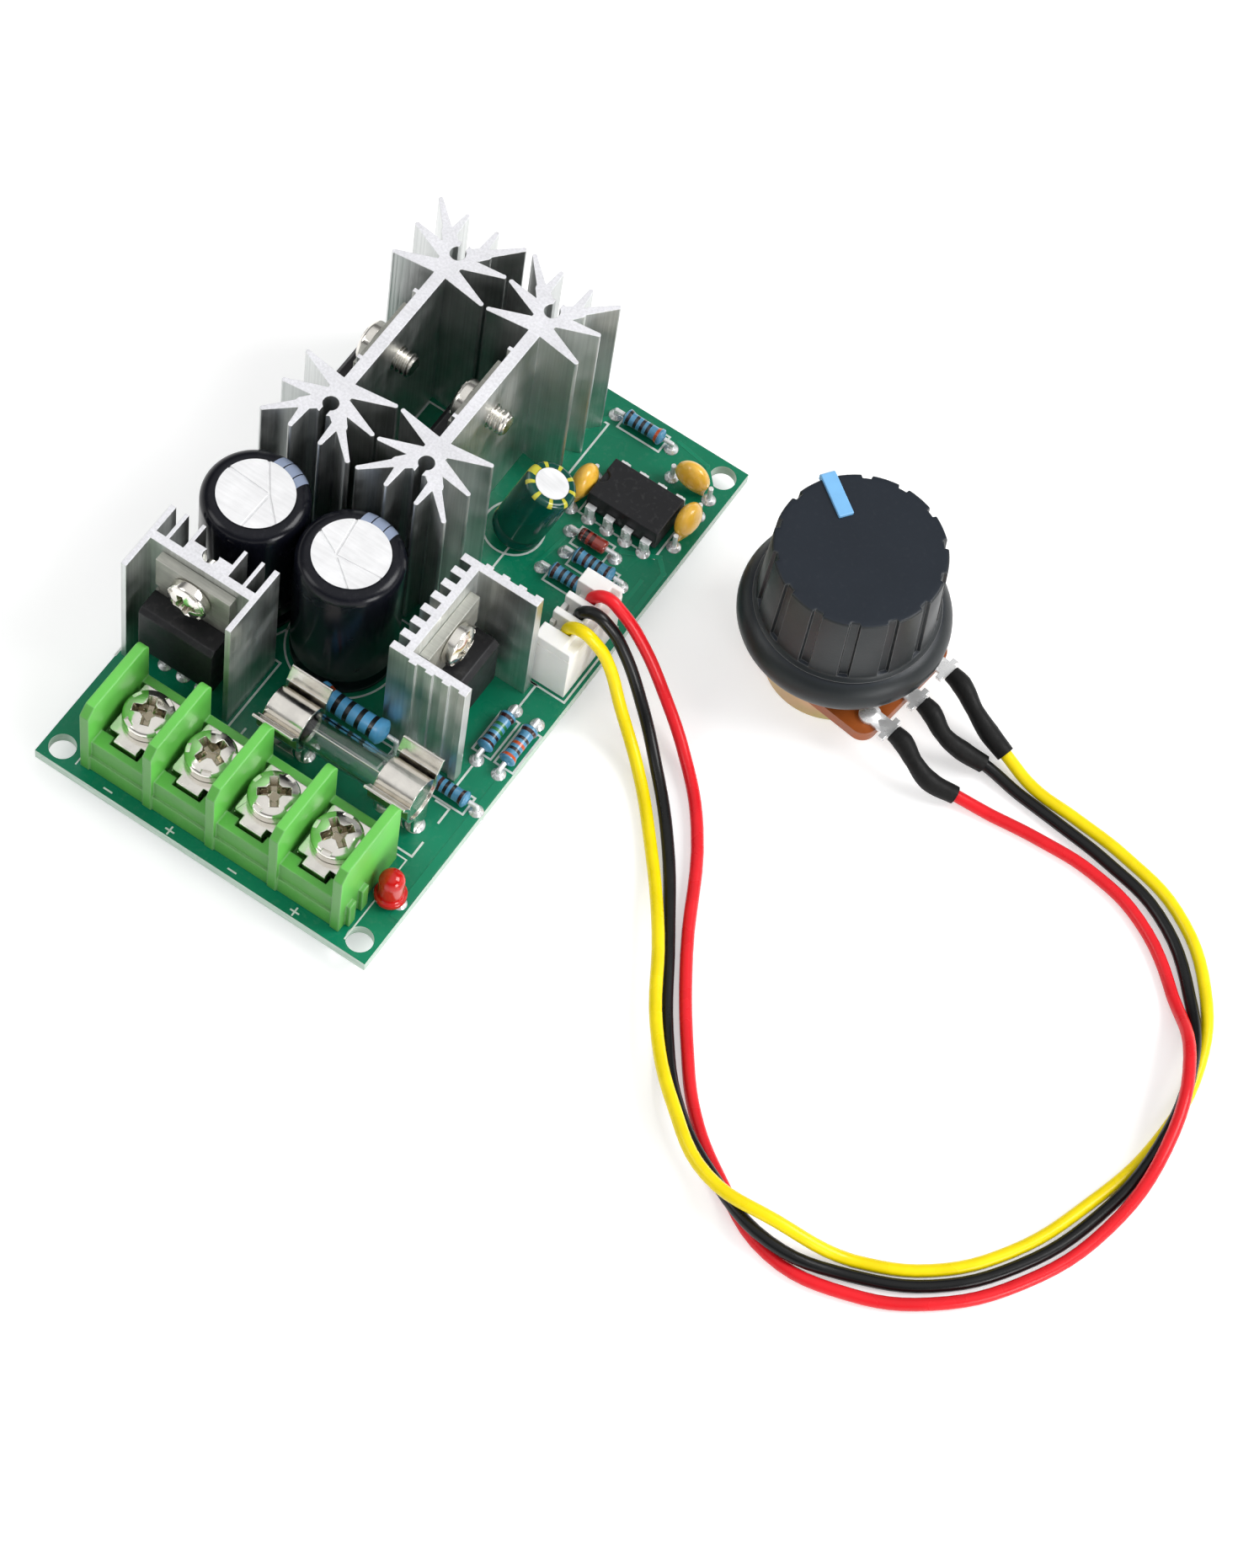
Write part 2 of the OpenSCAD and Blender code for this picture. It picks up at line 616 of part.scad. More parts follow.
module fuse_caps() {
    bore_r = fuse_r - clip_t + seat_gap;
    color("silver") along_fuse() for (s = [-1, 1]) mirror([0, 0, s < 0 ? 1 : 0]) difference() {
        translate([0, 0, fuse_l / 2 - fuse_cap_l]) rod(fuse_cap_l, fuse_r);
        translate([0, 0, fuse_l / 2 - fuse_cap_l - over]) rod(fuse_cap_l + over - clip_t + seat_gap, bore_r);
    }
}
module fuse_wire() {
    wire_len = fuse_l - 2 * clip_t;
    color("silver") along_fuse() cylinder(wire_len, lead_r / 2, lead_r / 2, center = true);
}

// Arms of a star, as shares of its radius: root, tip, root width and tip width
arm_shares = [[[0, 0.40], [0.97, 0.66], 0.36, 0.09], [[0, 0.16], [0.97, -0.09], 0.36, 0.09],
    [[0.10, 0.02], [0.42, -0.30], 0.36, 0.26], [[0.34, -0.22], [0.94, -0.82], 0.20, 0.09],
    [[0.34, -0.22], [0.33, -0.80], 0.20, 0.09]];
hub_shares = [0.24, 0.60];
module star_outline() {
    hub_w = 2 * hub_shares[0] * star_r;
    difference() {
        union() {
            for (s = [0, 1]) mirror([s, 0]) for (a = arm_shares)
                tapered_bar(a[0] * star_r, a[1] * star_r, a[2] * star_r, a[3] * star_r);
            translate([-hub_w / 2, 0]) square([hub_w, hub_shares[1] * star_r]);
            circle(groove_r + plate_t / 2);
        }
        circle(groove_r);
        translate([-groove_r / 2, -star_r]) square([groove_r, star_r]);
    }
}
module star_sink(x) {
    nub = plate_t / 3;
    nub_y = star_r * 11 / 10;
    color("lightgray") translate([x, star_y, board_t]) difference() {
        linear_extrude(star_h) {
            translate([-plate_t / 2, -star_span / 2 + star_r / 2]) square([plate_t, star_span - star_r]);
            for (s = [0, 1]) mirror([0, s]) translate([0, -star_span / 2]) {
                star_outline();
                translate([-plate_t / 2 - nub, nub_y]) square([2 * nub, nub]);
            }
        }
        translate([0, 0, star_screw_z]) rotate([0, 90, 0])
            cylinder(plate_t * 2, tab_shank_r + run_gap, tab_shank_r + run_gap, center = true);
    }
}
// Fins behind the web of the left sink, as shares of its half width
fin_shares = [0.38, 0.70];
module sink_left() {
    c = place(sink_left_share);
    front = sink_face_y - (sink_d - web_t) * 11 / 20 - c[1];
    back = front + sink_d;
    web_y = sink_face_y - c[1];
    boss_w = fin_shares[0] * sink_w;
    fin_w = sink_wall * 2 / 3;
    color("lightgray") translate([c[0], c[1], board_t]) difference() {
        linear_extrude(left_sink_h) {
            for (s = [-1, 1]) translate([s * (sink_w - sink_wall) / 2 - sink_wall / 2, front])
                square([sink_wall, sink_d]);
            translate([-sink_w / 2, web_y]) square([sink_w, web_t]);
            for (s = [-1, 1], f = fin_shares)
                translate([(s * f * sink_w - fin_w) / 2, web_y]) square([fin_w, back - web_y]);
            difference() {
                translate([-boss_w / 2, web_y]) square([boss_w, web_t + groove_r * 3 / 2]);
                translate([0, web_y + web_t + groove_r]) circle(groove_r);
                translate([-groove_r / 2, web_y + web_t + groove_r]) square([groove_r, sink_d]);
            }
        }
        translate([0, web_y, left_screw_z]) rotate([90, 0, 0])
            cylinder(groove_r * 9, tab_shank_r + run_gap, tab_shank_r + run_gap, center = true);
    }
}
module sink_right() {
    c = right_sink_place;
    back_x = -comb_d / 2 + tooth_l;
    tooth_w = sink_w / (2 * teeth - 1);
    ridge = comb_wall / 3;
    reach = comb_d - tooth_l;
    color("whitesmoke") translate([c[0], c[1], board_t]) difference() {
        linear_extrude(right_sink_h) {
            translate([back_x, -sink_w / 2]) square([comb_wall, sink_w]);
            for (i = [0 : teeth - 1]) translate([-comb_d / 2, (2 * i) * tooth_w - sink_w / 2])
                square([tooth_l, tooth_w]);
            for (s = [0, 1]) mirror([0, s]) {
                translate([back_x, sink_w / 2 - comb_wall]) square([reach, comb_wall]);
                for (i = [0 : 3]) translate([back_x + reach * (i + 1) / 4 - tooth_w, sink_w / 2 - over])
                    square([tooth_w, over + ridge]);
            }
        }
        translate([back_x, 0, right_screw_z]) rotate([0, 90, 0])
            cylinder(comb_wall * 4 + tooth_l, tab_shank_r + run_gap, tab_shank_r + run_gap, center = true);
    }
}
module sink_pins() {
    pin_up = star_h / 3;
    color("gainsboro") for (p = concat(star_pins, [sink_pin]))
        at(p, -lead_drop) rod(lead_drop + board_t + pin_up, pin_r);
}

module at_seat(i) {
    translate(seats[i] + [0, 0, board_t]) rotate(seat_turns[i]) children();
}
module transistor_tabs() {
    color("gainsboro") for (i = [0 : len(seats) - 1]) at_seat(i) difference() {
        translate([seat_gap, -case_w / 2, tab_hole_drop - tab_h]) cube([tab_t, case_w, tab_h]);
        translate([-over, 0, 0]) rotate([0, 90, 0]) rod(tab_t + 2 * over, tab_shank_r + edge);
        for (s = [-1, 1]) translate([-over, s * case_w / 2, tab_hole_drop - tab_h + case_h + edge * 2])
            rotate([0, 90, 0]) rod(tab_t + 2 * over, edge * 2);
    }
}
module transistor_cases() {
    low = tab_hole_drop - tab_h;
    slope = edge * 2;
    color("dimgray") for (i = [0 : len(seats) - 1]) at_seat(i) translate([tab_front, case_w / 2, low])
        rotate([90, 0, 0]) linear_extrude(case_w)
            polygon([[0, 0], [case_t - slope, 0], [case_t, slope], [case_t, case_h - slope],
                [case_t - slope, case_h], [0, case_h]]);
}
module transistor_leads() {
    color("silver") for (i = [0 : len(seats) - 1]) {
        low = seats[i][2] + tab_hole_drop - tab_h;
        wide_h = min(low / 2, case_t);
        for (k = [0 : 2]) at(seat_leads[3 * i + k], 0) {
            translate([0, 0, -lead_drop]) rod(lead_drop + board_t + low - seat_gap, lead_r);
            translate([0, 0, board_t + low - wide_h - seat_gap])
                rotate(seat_turns[i]) block(lead_r * 3 / 2, lead_r * 4, wide_h);
        }
    }
}
module transistor_screws() {
    head_h2 = tab_head_r * 3 / 4;
    color("silver") for (i = [0 : len(seats) - 1]) at_seat(i) rotate([0, 90, 0]) {
        shank = tab_front + seat_depths[i] + tab_shank_out;
        translate([0, 0, tab_front]) rotate(screw_turns[i]) domed_head(tab_head_r, head_h2, tab_head_r / 3);
        translate([0, 0, tab_front - shank]) rod(shank, tab_shank_r);
    }
}

module capacitor_sleeves() {
    lip = edge * 2;
    color("#1c1c22") for (c = can_places) at(c, board_t + seat_gap) difference() {
        union() {
            rod(can_h - edge, can_r);
            translate([0, 0, can_h - edge]) cylinder(edge, can_r, can_r - edge);
        }
        translate([0, 0, can_h - lip]) rod(can_h, can_r * 3 / 4);
        translate([0, 0, lip]) rod(can_h - 2 * lip + over, can_r - edge);
        for (s = [-1, 1]) translate([0, s * can_lead_span / 2, -over]) rod(lip + 2 * over, lead_r + edge);
    }
}
module capacitor_cans() {
    lip = edge * 2;
    vent_d = edge;
    color("gainsboro") for (c = can_places) at(c, board_t + seat_gap) difference() {
        union() {
            translate([0, 0, lip + seat_gap]) rod(can_h - 2 * lip - 2 * seat_gap, can_r - edge - seat_gap);
            rod(can_h, can_r * 3 / 4 - seat_gap);
        }
        translate([0, 0, -over]) rod(lip + over + seat_gap, can_r);
        for (a = [90, 210, 330]) translate([0, 0, can_h - vent_d]) rotate(a)
            translate([0, -vent_d / 4, 0]) cube([can_r * 2 / 3, vent_d / 2, can_h]);
    }
}
module small_capacitor_frame() {
    at(small_can_place, small_can_z) rotate(a = small_can_lean, v = small_can_axis) children();
}
module small_capacitor_sleeve() {
    lip = edge * 2;
    color("darkgreen") small_capacitor_frame() difference() {
        rod(small_can_h, small_can_r);
        translate([0, 0, lip]) rod(small_can_h - 2 * lip, small_can_r - edge);
        translate([0, 0, small_can_h - lip - over]) rod(small_can_h, small_can_r * 2 / 3);
    }
}
module small_capacitor_can() {
    lip = edge * 2;
    inner_h = small_can_h - 2 * lip - 2 * seat_gap;
    color("whitesmoke") small_capacitor_frame() {
        translate([0, 0, lip + seat_gap]) rod(inner_h, small_can_r - edge - seat_gap);
        translate([0, 0, small_can_h - lip * 2]) rod(lip * 2, small_can_r * 2 / 3 - seat_gap);
    }
}
module ceramic_capacitors() {
    round_r = disc_t / 2;
    color("orange") for (i = [0 : len(ceramic_places) - 1])
        at(ceramic_places[i], ceramic_z) rotate([90, 0, ceramic_turns[i]]) rotate_extrude() {
            translate([0, -round_r]) square([disc_r - round_r, disc_t]);
            intersection() {
                translate([disc_r - round_r, 0]) circle(round_r);
                translate([0, -disc_t]) square([disc_r, 2 * disc_t]);
            }
        }
}
module bobbin(r, l) {
    bead = l / 5;
    cylinder(l - bead, r * 4 / 5, r * 4 / 5, center = true);
    for (s = [-1, 1]) translate([0, 0, s * (l - bead) / 2]) {
        cylinder(bead / 2, r, r, center = true);
        translate([0, 0, s * bead / 4]) mirror([0, 0, s < 0 ? 1 : 0]) cylinder(bead / 4, r, r * 3 / 4);
        translate([0, 0, -s * bead / 4]) mirror([0, 0, s < 0 ? 0 : 1]) cylinder(bead / 4, r, r * 4 / 5);
    }
}
module small_resistors() {
    color("lightskyblue") for (i = [0 : len(resistor_places) - 1])
        at(resistor_places[i], res_z) rotate(resistor_turns[i])
            rotate([0, 90, 0]) bobbin(res_r, res_l);
}
module power_resistor() {
    color("dodgerblue") at(power_place, board_t + power_z) rotate([0, 90, 0])
        bobbin(power_r, power_l);
}
module diode() {
    color("firebrick") at(diode_place, board_t + diode_r + seat_gap) rotate([0, 90, 0])
        cylinder(diode_l, diode_r, diode_r, center = true);
}
module lamp() {
    flange_r = led_r * 5 / 4;
    color("red") at(place(lamp_share), board_t + solder_w) {
        rod(led_r / 2, flange_r);
        rod(led_h - led_r, led_r);
        translate([0, 0, led_h - led_r]) sphere(led_r);
    }
}
module chip() {
    chip_t = chip_w / 2;
    slope = edge;
    color("#26272b") at(chip_place, board_t + edge * 2) difference() {
        rotate([90, 0, 90]) translate([0, 0, -chip_l / 2]) linear_extrude(chip_l)
            polygon([[-chip_w / 2 + slope, 0], [chip_w / 2 - slope, 0], [chip_w / 2, chip_t / 2],
                [chip_w / 2 - slope, chip_t], [-chip_w / 2 + slope, chip_t], [-chip_w / 2, chip_t / 2]]);
        translate([-chip_l / 2, 0, chip_t - edge]) rod(chip_t, edge * 3);
    }
}
module chip_pins() {
    pin_z = board_t + edge * 2 + chip_w / 4;
    wide = lead_r * 4;
    color("whitesmoke") for (s = [-1, 1], k = [0 : 3]) {
        p = chip_place + [(k - 3 / 2) * lead_pitch, s * chip_rows / 2];
        at(p, -lead_drop) rod(pin_z + lead_drop, lead_r);
        at(p, board_t + solder_w) block(wide, lead_r, pin_z - board_t - solder_w);
        translate([p[0], p[1], pin_z - lead_r / 2]) mirror([0, s < 0 ? 1 : 0, 0])
            translate([-wide / 2, (chip_w - chip_rows) / 2 + seat_gap, 0])
                cube([wide, (chip_rows - chip_w + lead_r) / 2 - seat_gap, lead_r]);
    }
}
module bent_lead(p, c, z, bead) {
    d = unit(c - p);
    at(p, -lead_drop) rod(z + lead_drop, lead_r);
    at(p, z) sphere(lead_r);
    at(p, z) rotate([0, 90, atan2(d[1], d[0])]) rod(norm(c - p) - bead / 2 - seat_gap, lead_r);
}
function small_lead_top(s) = small_can_z - seat_gap
    - tan(small_can_lean) * ((s - 1 / 2) * small_can_lead_span * small_can_axis[1] + lead_r);
module component_leads() {
    color("silver") {
        for (p = can_leads) at(p, -lead_drop) rod(lead_drop + board_t + edge * 2 + seat_gap, lead_r);
        for (s = [0, 1]) at(small_can_leads[s], -lead_drop)
            rod(lead_drop + small_lead_top(s), lead_r);
        for (p = lamp_leads) at(p, -lead_drop) rod(lead_drop + board_t + solder_w - seat_gap, lead_r);
        for (i = [0 : len(resistor_places) - 1], s = [0, 1])
            bent_lead(resistor_leads[2 * i + s], resistor_places[i], res_z, res_l);
        for (p = diode_leads) bent_lead(p, diode_place, board_t + diode_r + seat_gap, diode_l);
        for (p = power_leads) bent_lead(p, power_place, board_t + power_z, power_l);
        for (p = ceramic_leads) at(p, -lead_drop) rod(lead_drop + ceramic_z, lead_r);
    }
}

header_wall = 0.6;
module at_connector(z) {
    at(header_place, z) children();
}
module header() {
    inner_w = header_w - 2 * header_wall;
    inner_l = header_l - 2 * header_wall;
    color("ivory") at_connector(board_t + seat_gap) difference() {
        block(header_w, header_l, header_h);
        translate([0, 0, header_wall * 2]) block(inner_w, inner_l, header_h);
        for (k = [-1, 0, 1]) translate([0, k * wire_pitch, -over]) rod(header_h, lead_r + edge);
        for (k = [-1, 1]) translate([-header_w / 2, k * header_l / 4, header_h / 2])
            block(header_wall * 3, wire_pitch / 2, header_h);
    }
}
module header_pins() {
    color("silver") for (p = header_leads) at(p, -lead_drop)
        rod(lead_drop + board_t + header_h * 3 / 4, lead_r);
}
plug_low = board_t + header_wall * 3;
module plug() {
    w = header_w - 2 * header_wall - 4 * seat_gap;
    l = header_l - 2 * header_wall - 4 * seat_gap;
    h = board_t + plug_top - plug_low;
    over_l = header_l - 2 * seat_gap;
    slot_w = 2 * wire_r + 2 * run_gap;
    rib = header_wall * 2;
    color("white") at_connector(plug_low) difference() {
        union() {
            block(w, l, h);
            translate([0, 0, board_t + seat_gap * 2 + header_h - plug_low])
                block(header_w - 2 * seat_gap, over_l, plug_top - header_h - seat_gap * 2);
        }
        for (k = [-1, 0, 1]) translate([0, k * wire_pitch, 0]) {
            translate([0, 0, -over]) block(slot_w + edge, slot_w, h + 2 * over);
            translate([-w / 2, 0, h - rib * 2]) block(w * 3 / 5, slot_w, h);
        }
        translate([header_w / 2, 0, h - rib]) block(2 * rib, l, h);
    }
}
module plug_contacts() {
    top = plug_mouth - edge * 4;
    r = wire_r * 4 / 5;
    color("gainsboro") for (p = header_leads) at(p, plug_low + edge) difference() {
        rod(top - plug_low - edge - seat_gap, r);
        translate([0, 0, -over]) rod(board_t + header_h * 3 / 4 - plug_low + over, lead_r + run_gap);
    }
}
function wire_start(k) = concat(header_leads[k], plug_mouth - edge * 4);
function wire_rise(k) = concat(header_leads[k], plug_mouth + edge * 2);
function wire_path(k, pts, s) = concat([wire_start(k), wire_rise(k)], pts,
    [sleeve_ends[s] + unit(pts[len(pts) - 1] - sleeve_ends[s]) * seat_gap]);
module wire_yellow() {
    color("yellow") tube(wire_path(0, yellow_points, 2), wire_r);
}
module wire_black() {
    color("#1a1a1a") tube(wire_path(1, black_points, 1), wire_r);
}
module wire_red() {
    color("red") tube(wire_path(2, red_points, 0), wire_r);
}
module wire_sleeves() {
    color("#202020") {
        tube(concat([lug_end(0)], red_sleeve_points, [sleeve_ends[0]]), sleeve_r);
        tube(concat([lug_end(1)], black_sleeve_points, [sleeve_ends[1]]), sleeve_r);
        tube(concat([lug_end(2)], yellow_sleeve_points, [sleeve_ends[2]]), sleeve_r);
    }
}

module at_control(z) {
    at(control_place, z) rotate(control_turn) children();
}
module control_can() {
    in_r = can2_r - can2_wall;
    color("darkkhaki") at_control(floor_z) difference() {
        union() {
            cylinder(can2_wall, can2_r - can2_wall, can2_r);
            translate([0, 0, can2_wall]) rod(can2_h - can2_wall, can2_r);
        }
        translate([0, 0, can2_wall]) rod(can2_h, in_r);
    }
}
module wafer_outline() {
    half = can2_r;
    corner = fin_t * 3 / 2;
    circle(can2_r);
    translate([0, -half]) square([wafer_reach - corner, 2 * half]);
    translate([0, corner - half]) square([wafer_reach, 2 * half - 2 * corner]);
    for (s = [-1, 1]) translate([wafer_reach - corner, s * (half - corner)]) circle(corner);
}
module control_wafer() {
    color("sienna") at_control(can2_top) difference() {
        linear_extrude(wafer_t) wafer_outline();
        drill(wafer_t, shaft_r + edge);
        for (k = [-1, 0, 1]) translate([rivet_x, k * lug_pitch, -over])
            rod(wafer_t + 2 * over, rivet_r / 2);
    }
}
track_t = 0.1;
module control_track() {
    color("black") at_control(can2_top - track_t - seat_gap) difference() {
        rod(track_t, can2_r * 4 / 5);
        drill(track_t, can2_r * 3 / 5);
        translate([can2_r / 2, 0, -over]) block(can2_r, can2_r / 3, track_t + 2 * over);
    }
}
module control_lugs() {
    neck_l = lug_reach - rivet_x;
    head_l = lug_head_l * 3 / 4;
    color("silver") for (k = [-1, 0, 1]) at_control(lug_z) translate([0, k * lug_pitch, 0]) {
        translate([lug_reach - neck_l / 2, 0, 0]) block(neck_l, lug_w, lug_t);
        translate([lug_reach - lug_head_l, -lug_head_w / 2, 0]) cube([head_l, lug_head_w, lug_t]);
        translate([rivet_x, 0, -wafer_t]) rod(wafer_t + lug_t, rivet_r / 2 - seat_gap);
        translate([rivet_x, 0, 0]) rod(lug_t, rivet_r);
        translate([rivet_x, 0, lug_t]) cylinder(lug_t, rivet_r, rivet_r / 2);
    }
}
module control_front() {
    color("silver") at_control(wafer_top + seat_gap) difference() {
        union() {
            rod(front_t - edge - seat_gap, can2_r - edge);
            translate([0, 0, front_t - edge - seat_gap]) cylinder(edge, can2_r - edge, can2_r - 2 * edge);
            rod(front_t + bush_h - seat_gap, bush_r);
        }
        drill(front_t + bush_h, shaft_r + run_gap);
    }
}
module control_nut() {
    color("silver") at_control(front_top + seat_gap) difference() {
        cylinder(nut_t, nut_w / sqrt(3), nut_w / sqrt(3), $fn = 6);
        drill(nut_t, bush_r + seat_gap);
    }
}
rotor_low = floor_z + can2_wall + edge;
rotor_top = rotor_low + can2_h / 2;
shaft_top = knob_top - edge * 5;
module control_rotor() {
    color("ivory") at_control(rotor_low) difference() {
        rod(rotor_top - rotor_low, can2_r * 4 / 5);
        translate([0, 0, -over]) rod(can2_h, shaft_r + seat_gap);
    }
}
module control_wiper() {
    wiper_t = 0.2;
    arm = can2_r * 7 / 10;
    up = can2_top - track_t - rotor_top - 4 * seat_gap;
    color("goldenrod") at_control(rotor_top + seat_gap / 2) difference() {
        union() {
            rod(wiper_t, can2_r / 2);
            rotate(pointer_turn - control_turn) {
                translate([0, -lug_w / 2, 0]) cube([arm, lug_w, wiper_t]);
                translate([arm, 0, 0]) rod(up, lug_w / 3);
            }
        }
        translate([0, 0, -over]) rod(can2_h, shaft_r + seat_gap);
    }
}
module control_shaft() {
    color("gainsboro") at_control(rotor_low) difference() {
        rod(shaft_top - rotor_low, shaft_r);
        translate([0, 0, shaft_top - rotor_low - shaft_r * 2]) block(lug_t, shaft_r * 3, shaft_r * 3);
    }
}
module knob_outline() {
    ease = skirt_h / 2;
    square([skirt_r - ease, skirt_h]);
    translate([skirt_r - ease, ease]) circle(ease);
    polygon([[0, ease], [knob_low_r, ease], [knob_low_r, skirt_h], [knob_top_r, knob_h - edge],
        [knob_top_r - edge, knob_h], [0, knob_h]]);
}
module knob() {
    nut_room = nut_w / sqrt(3) + edge;
    color("#2b2f36") at_control(knob_z) difference() {
        rotate_extrude() knob_outline();
        translate([0, 0, -over]) rod(front_top + nut_t + edge * 3 - knob_z + over, nut_room);
        translate([0, 0, -over]) rod(bush_h - knob_gap + edge * 2 + over, bush_r + edge * 2);
        translate([0, 0, -over]) rod(shaft_top + seat_gap - knob_z + over, shaft_r + seat_gap);
        for (k = [0 : grooves - 1]) rotate(360 * k / grooves + pointer_turn - control_turn)
            translate([knob_top_r - groove_d + groove_w / 2, 0, skirt_h + edge * 3])
                block(groove_w, groove_w, knob_h);
        rotate(pointer_turn - control_turn)
            translate([knob_top_r - pointer_l - seat_gap, -pointer_w / 2 - seat_gap, knob_h - edge * 3])
                cube([pointer_l + groove_w, pointer_w + 2 * seat_gap, knob_h]);
    }
}
module pointer() {
    low = knob_h - edge * 3 + seat_gap;
    color("lightskyblue") at_control(knob_z) rotate(pointer_turn - control_turn)
        translate([knob_top_r - pointer_l, pointer_w / 2, 0]) rotate([90, 0, 0]) linear_extrude(pointer_w)
            polygon([[0, low], [pointer_l + edge * 2, low], [pointer_l + edge * 2, knob_h],
                [pointer_l + edge, knob_h + pointer_rise], [0, knob_h + pointer_rise]]);
}

board();
solder_joints();
terminal_body();
terminal_bases();
terminal_clamp(0);  // terminal_clamp_1
terminal_clamp(1);  // terminal_clamp_2
terminal_clamp(2);  // terminal_clamp_3
terminal_clamp(3);  // terminal_clamp_4
terminal_screw(0);  // terminal_screw_1
terminal_screw(1);  // terminal_screw_2
terminal_screw(2);  // terminal_screw_3
terminal_screw(3);  // terminal_screw_4
fuse_clips();
fuse_glass();
fuse_caps();
fuse_wire();
star_sink(star_x[0]);  // star_sink_left
star_sink(star_x[1]);  // star_sink_right
sink_left();
sink_right();
sink_pins();
transistor_tabs();
transistor_cases();
transistor_leads();
transistor_screws();
capacitor_sleeves();
capacitor_cans();
small_capacitor_sleeve();
small_capacitor_can();
ceramic_capacitors();
small_resistors();
power_resistor();
diode();
lamp();
chip();
chip_pins();
component_leads();
header();
header_pins();
plug();
plug_contacts();
wire_yellow();
wire_black();
wire_red();
wire_sleeves();
control_can();
control_wafer();
control_track();
control_lugs();
control_front();
control_nut();
control_shaft();
control_rotor();
control_wiper();
knob();
pointer();
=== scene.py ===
"""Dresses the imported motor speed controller: finishes, moulded and wound pieces, wires and stage."""

import math
import bmesh
import bpy
from bpy.props import FloatProperty, FloatVectorProperty, IntProperty
from mathutils import Matrix, Vector


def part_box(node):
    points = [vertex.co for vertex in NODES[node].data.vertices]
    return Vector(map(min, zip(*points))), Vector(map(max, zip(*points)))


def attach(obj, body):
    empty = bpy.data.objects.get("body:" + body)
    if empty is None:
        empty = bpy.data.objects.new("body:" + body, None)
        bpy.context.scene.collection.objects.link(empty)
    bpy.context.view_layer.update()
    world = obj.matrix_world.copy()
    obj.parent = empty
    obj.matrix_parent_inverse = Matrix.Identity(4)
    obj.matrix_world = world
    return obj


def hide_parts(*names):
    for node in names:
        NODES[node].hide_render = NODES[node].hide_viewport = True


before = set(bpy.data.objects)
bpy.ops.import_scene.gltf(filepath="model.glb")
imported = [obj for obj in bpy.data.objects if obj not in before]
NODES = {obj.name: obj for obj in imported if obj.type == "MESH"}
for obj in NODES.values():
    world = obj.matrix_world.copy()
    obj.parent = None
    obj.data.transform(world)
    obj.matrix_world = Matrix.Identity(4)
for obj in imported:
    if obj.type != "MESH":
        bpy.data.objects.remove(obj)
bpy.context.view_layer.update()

bl_info = {
    "name": "Motor speed controller",
    "version": (1, 0, 0),
    "blender": (4, 5, 0),
    "location": "3D View > Sidebar > Controller",
    "description": "Builds a bare-board motor speed controller with its knob and wires",
    "category": "Object",
}

ROOT = "board_assembly"
MM = 0.001
FULL_TURN = 2 * math.pi
PHOTO_SIZE = (1470, 1862)
# Corners of a new piece that are nearer than this are made one
WELD = 1e-7


def mm(*values):
    """A point given in millimetres, in metres."""
    return Vector(values) * MM


def middle(node):
    """The middle of a CAD node's box."""
    low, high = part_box(node)
    return (low + high) / 2


BOARD_LOW, BOARD_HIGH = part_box("board")
BOARD_TOP = BOARD_HIGH.z


def on_board(x, y):
    """A point on the board's top face."""
    return Vector((x, y, BOARD_TOP))


def share(across, along):
    """A point on the board's top face, by its shares of the width and length."""
    low, high = BOARD_LOW, BOARD_HIGH
    return on_board(low.x + across * (high.x - low.x), low.y + along * (high.y - low.y))


KNOB_LOW, KNOB_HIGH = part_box("knob")
FLOOR_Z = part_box("control_can")[0].z
CAN_LOW, CAN_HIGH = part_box("capacitor_cans")
# The film's outside stands this far from the bare can
FILM_STAND_OFF = 0.32 * MM
BARE_RADIUS = (CAN_HIGH.y - CAN_LOW.y) / 2
CAN_RADIUS = BARE_RADIUS + FILM_STAND_OFF
CAN_CENTRES = [
    on_board(x, middle("capacitor_cans").y) for x in (CAN_LOW.x + BARE_RADIUS, CAN_HIGH.x - BARE_RADIUS)
]


# Settings that a user would change


def colour(name, description, default):
    return FloatVectorProperty(
        name=name, description=description, subtype="COLOR", size=3, min=0, max=1, default=default
    )


def length(name, description, default):
    return FloatProperty(
        name=name, description=description, unit="LENGTH", subtype="DISTANCE", min=0, default=default
    )


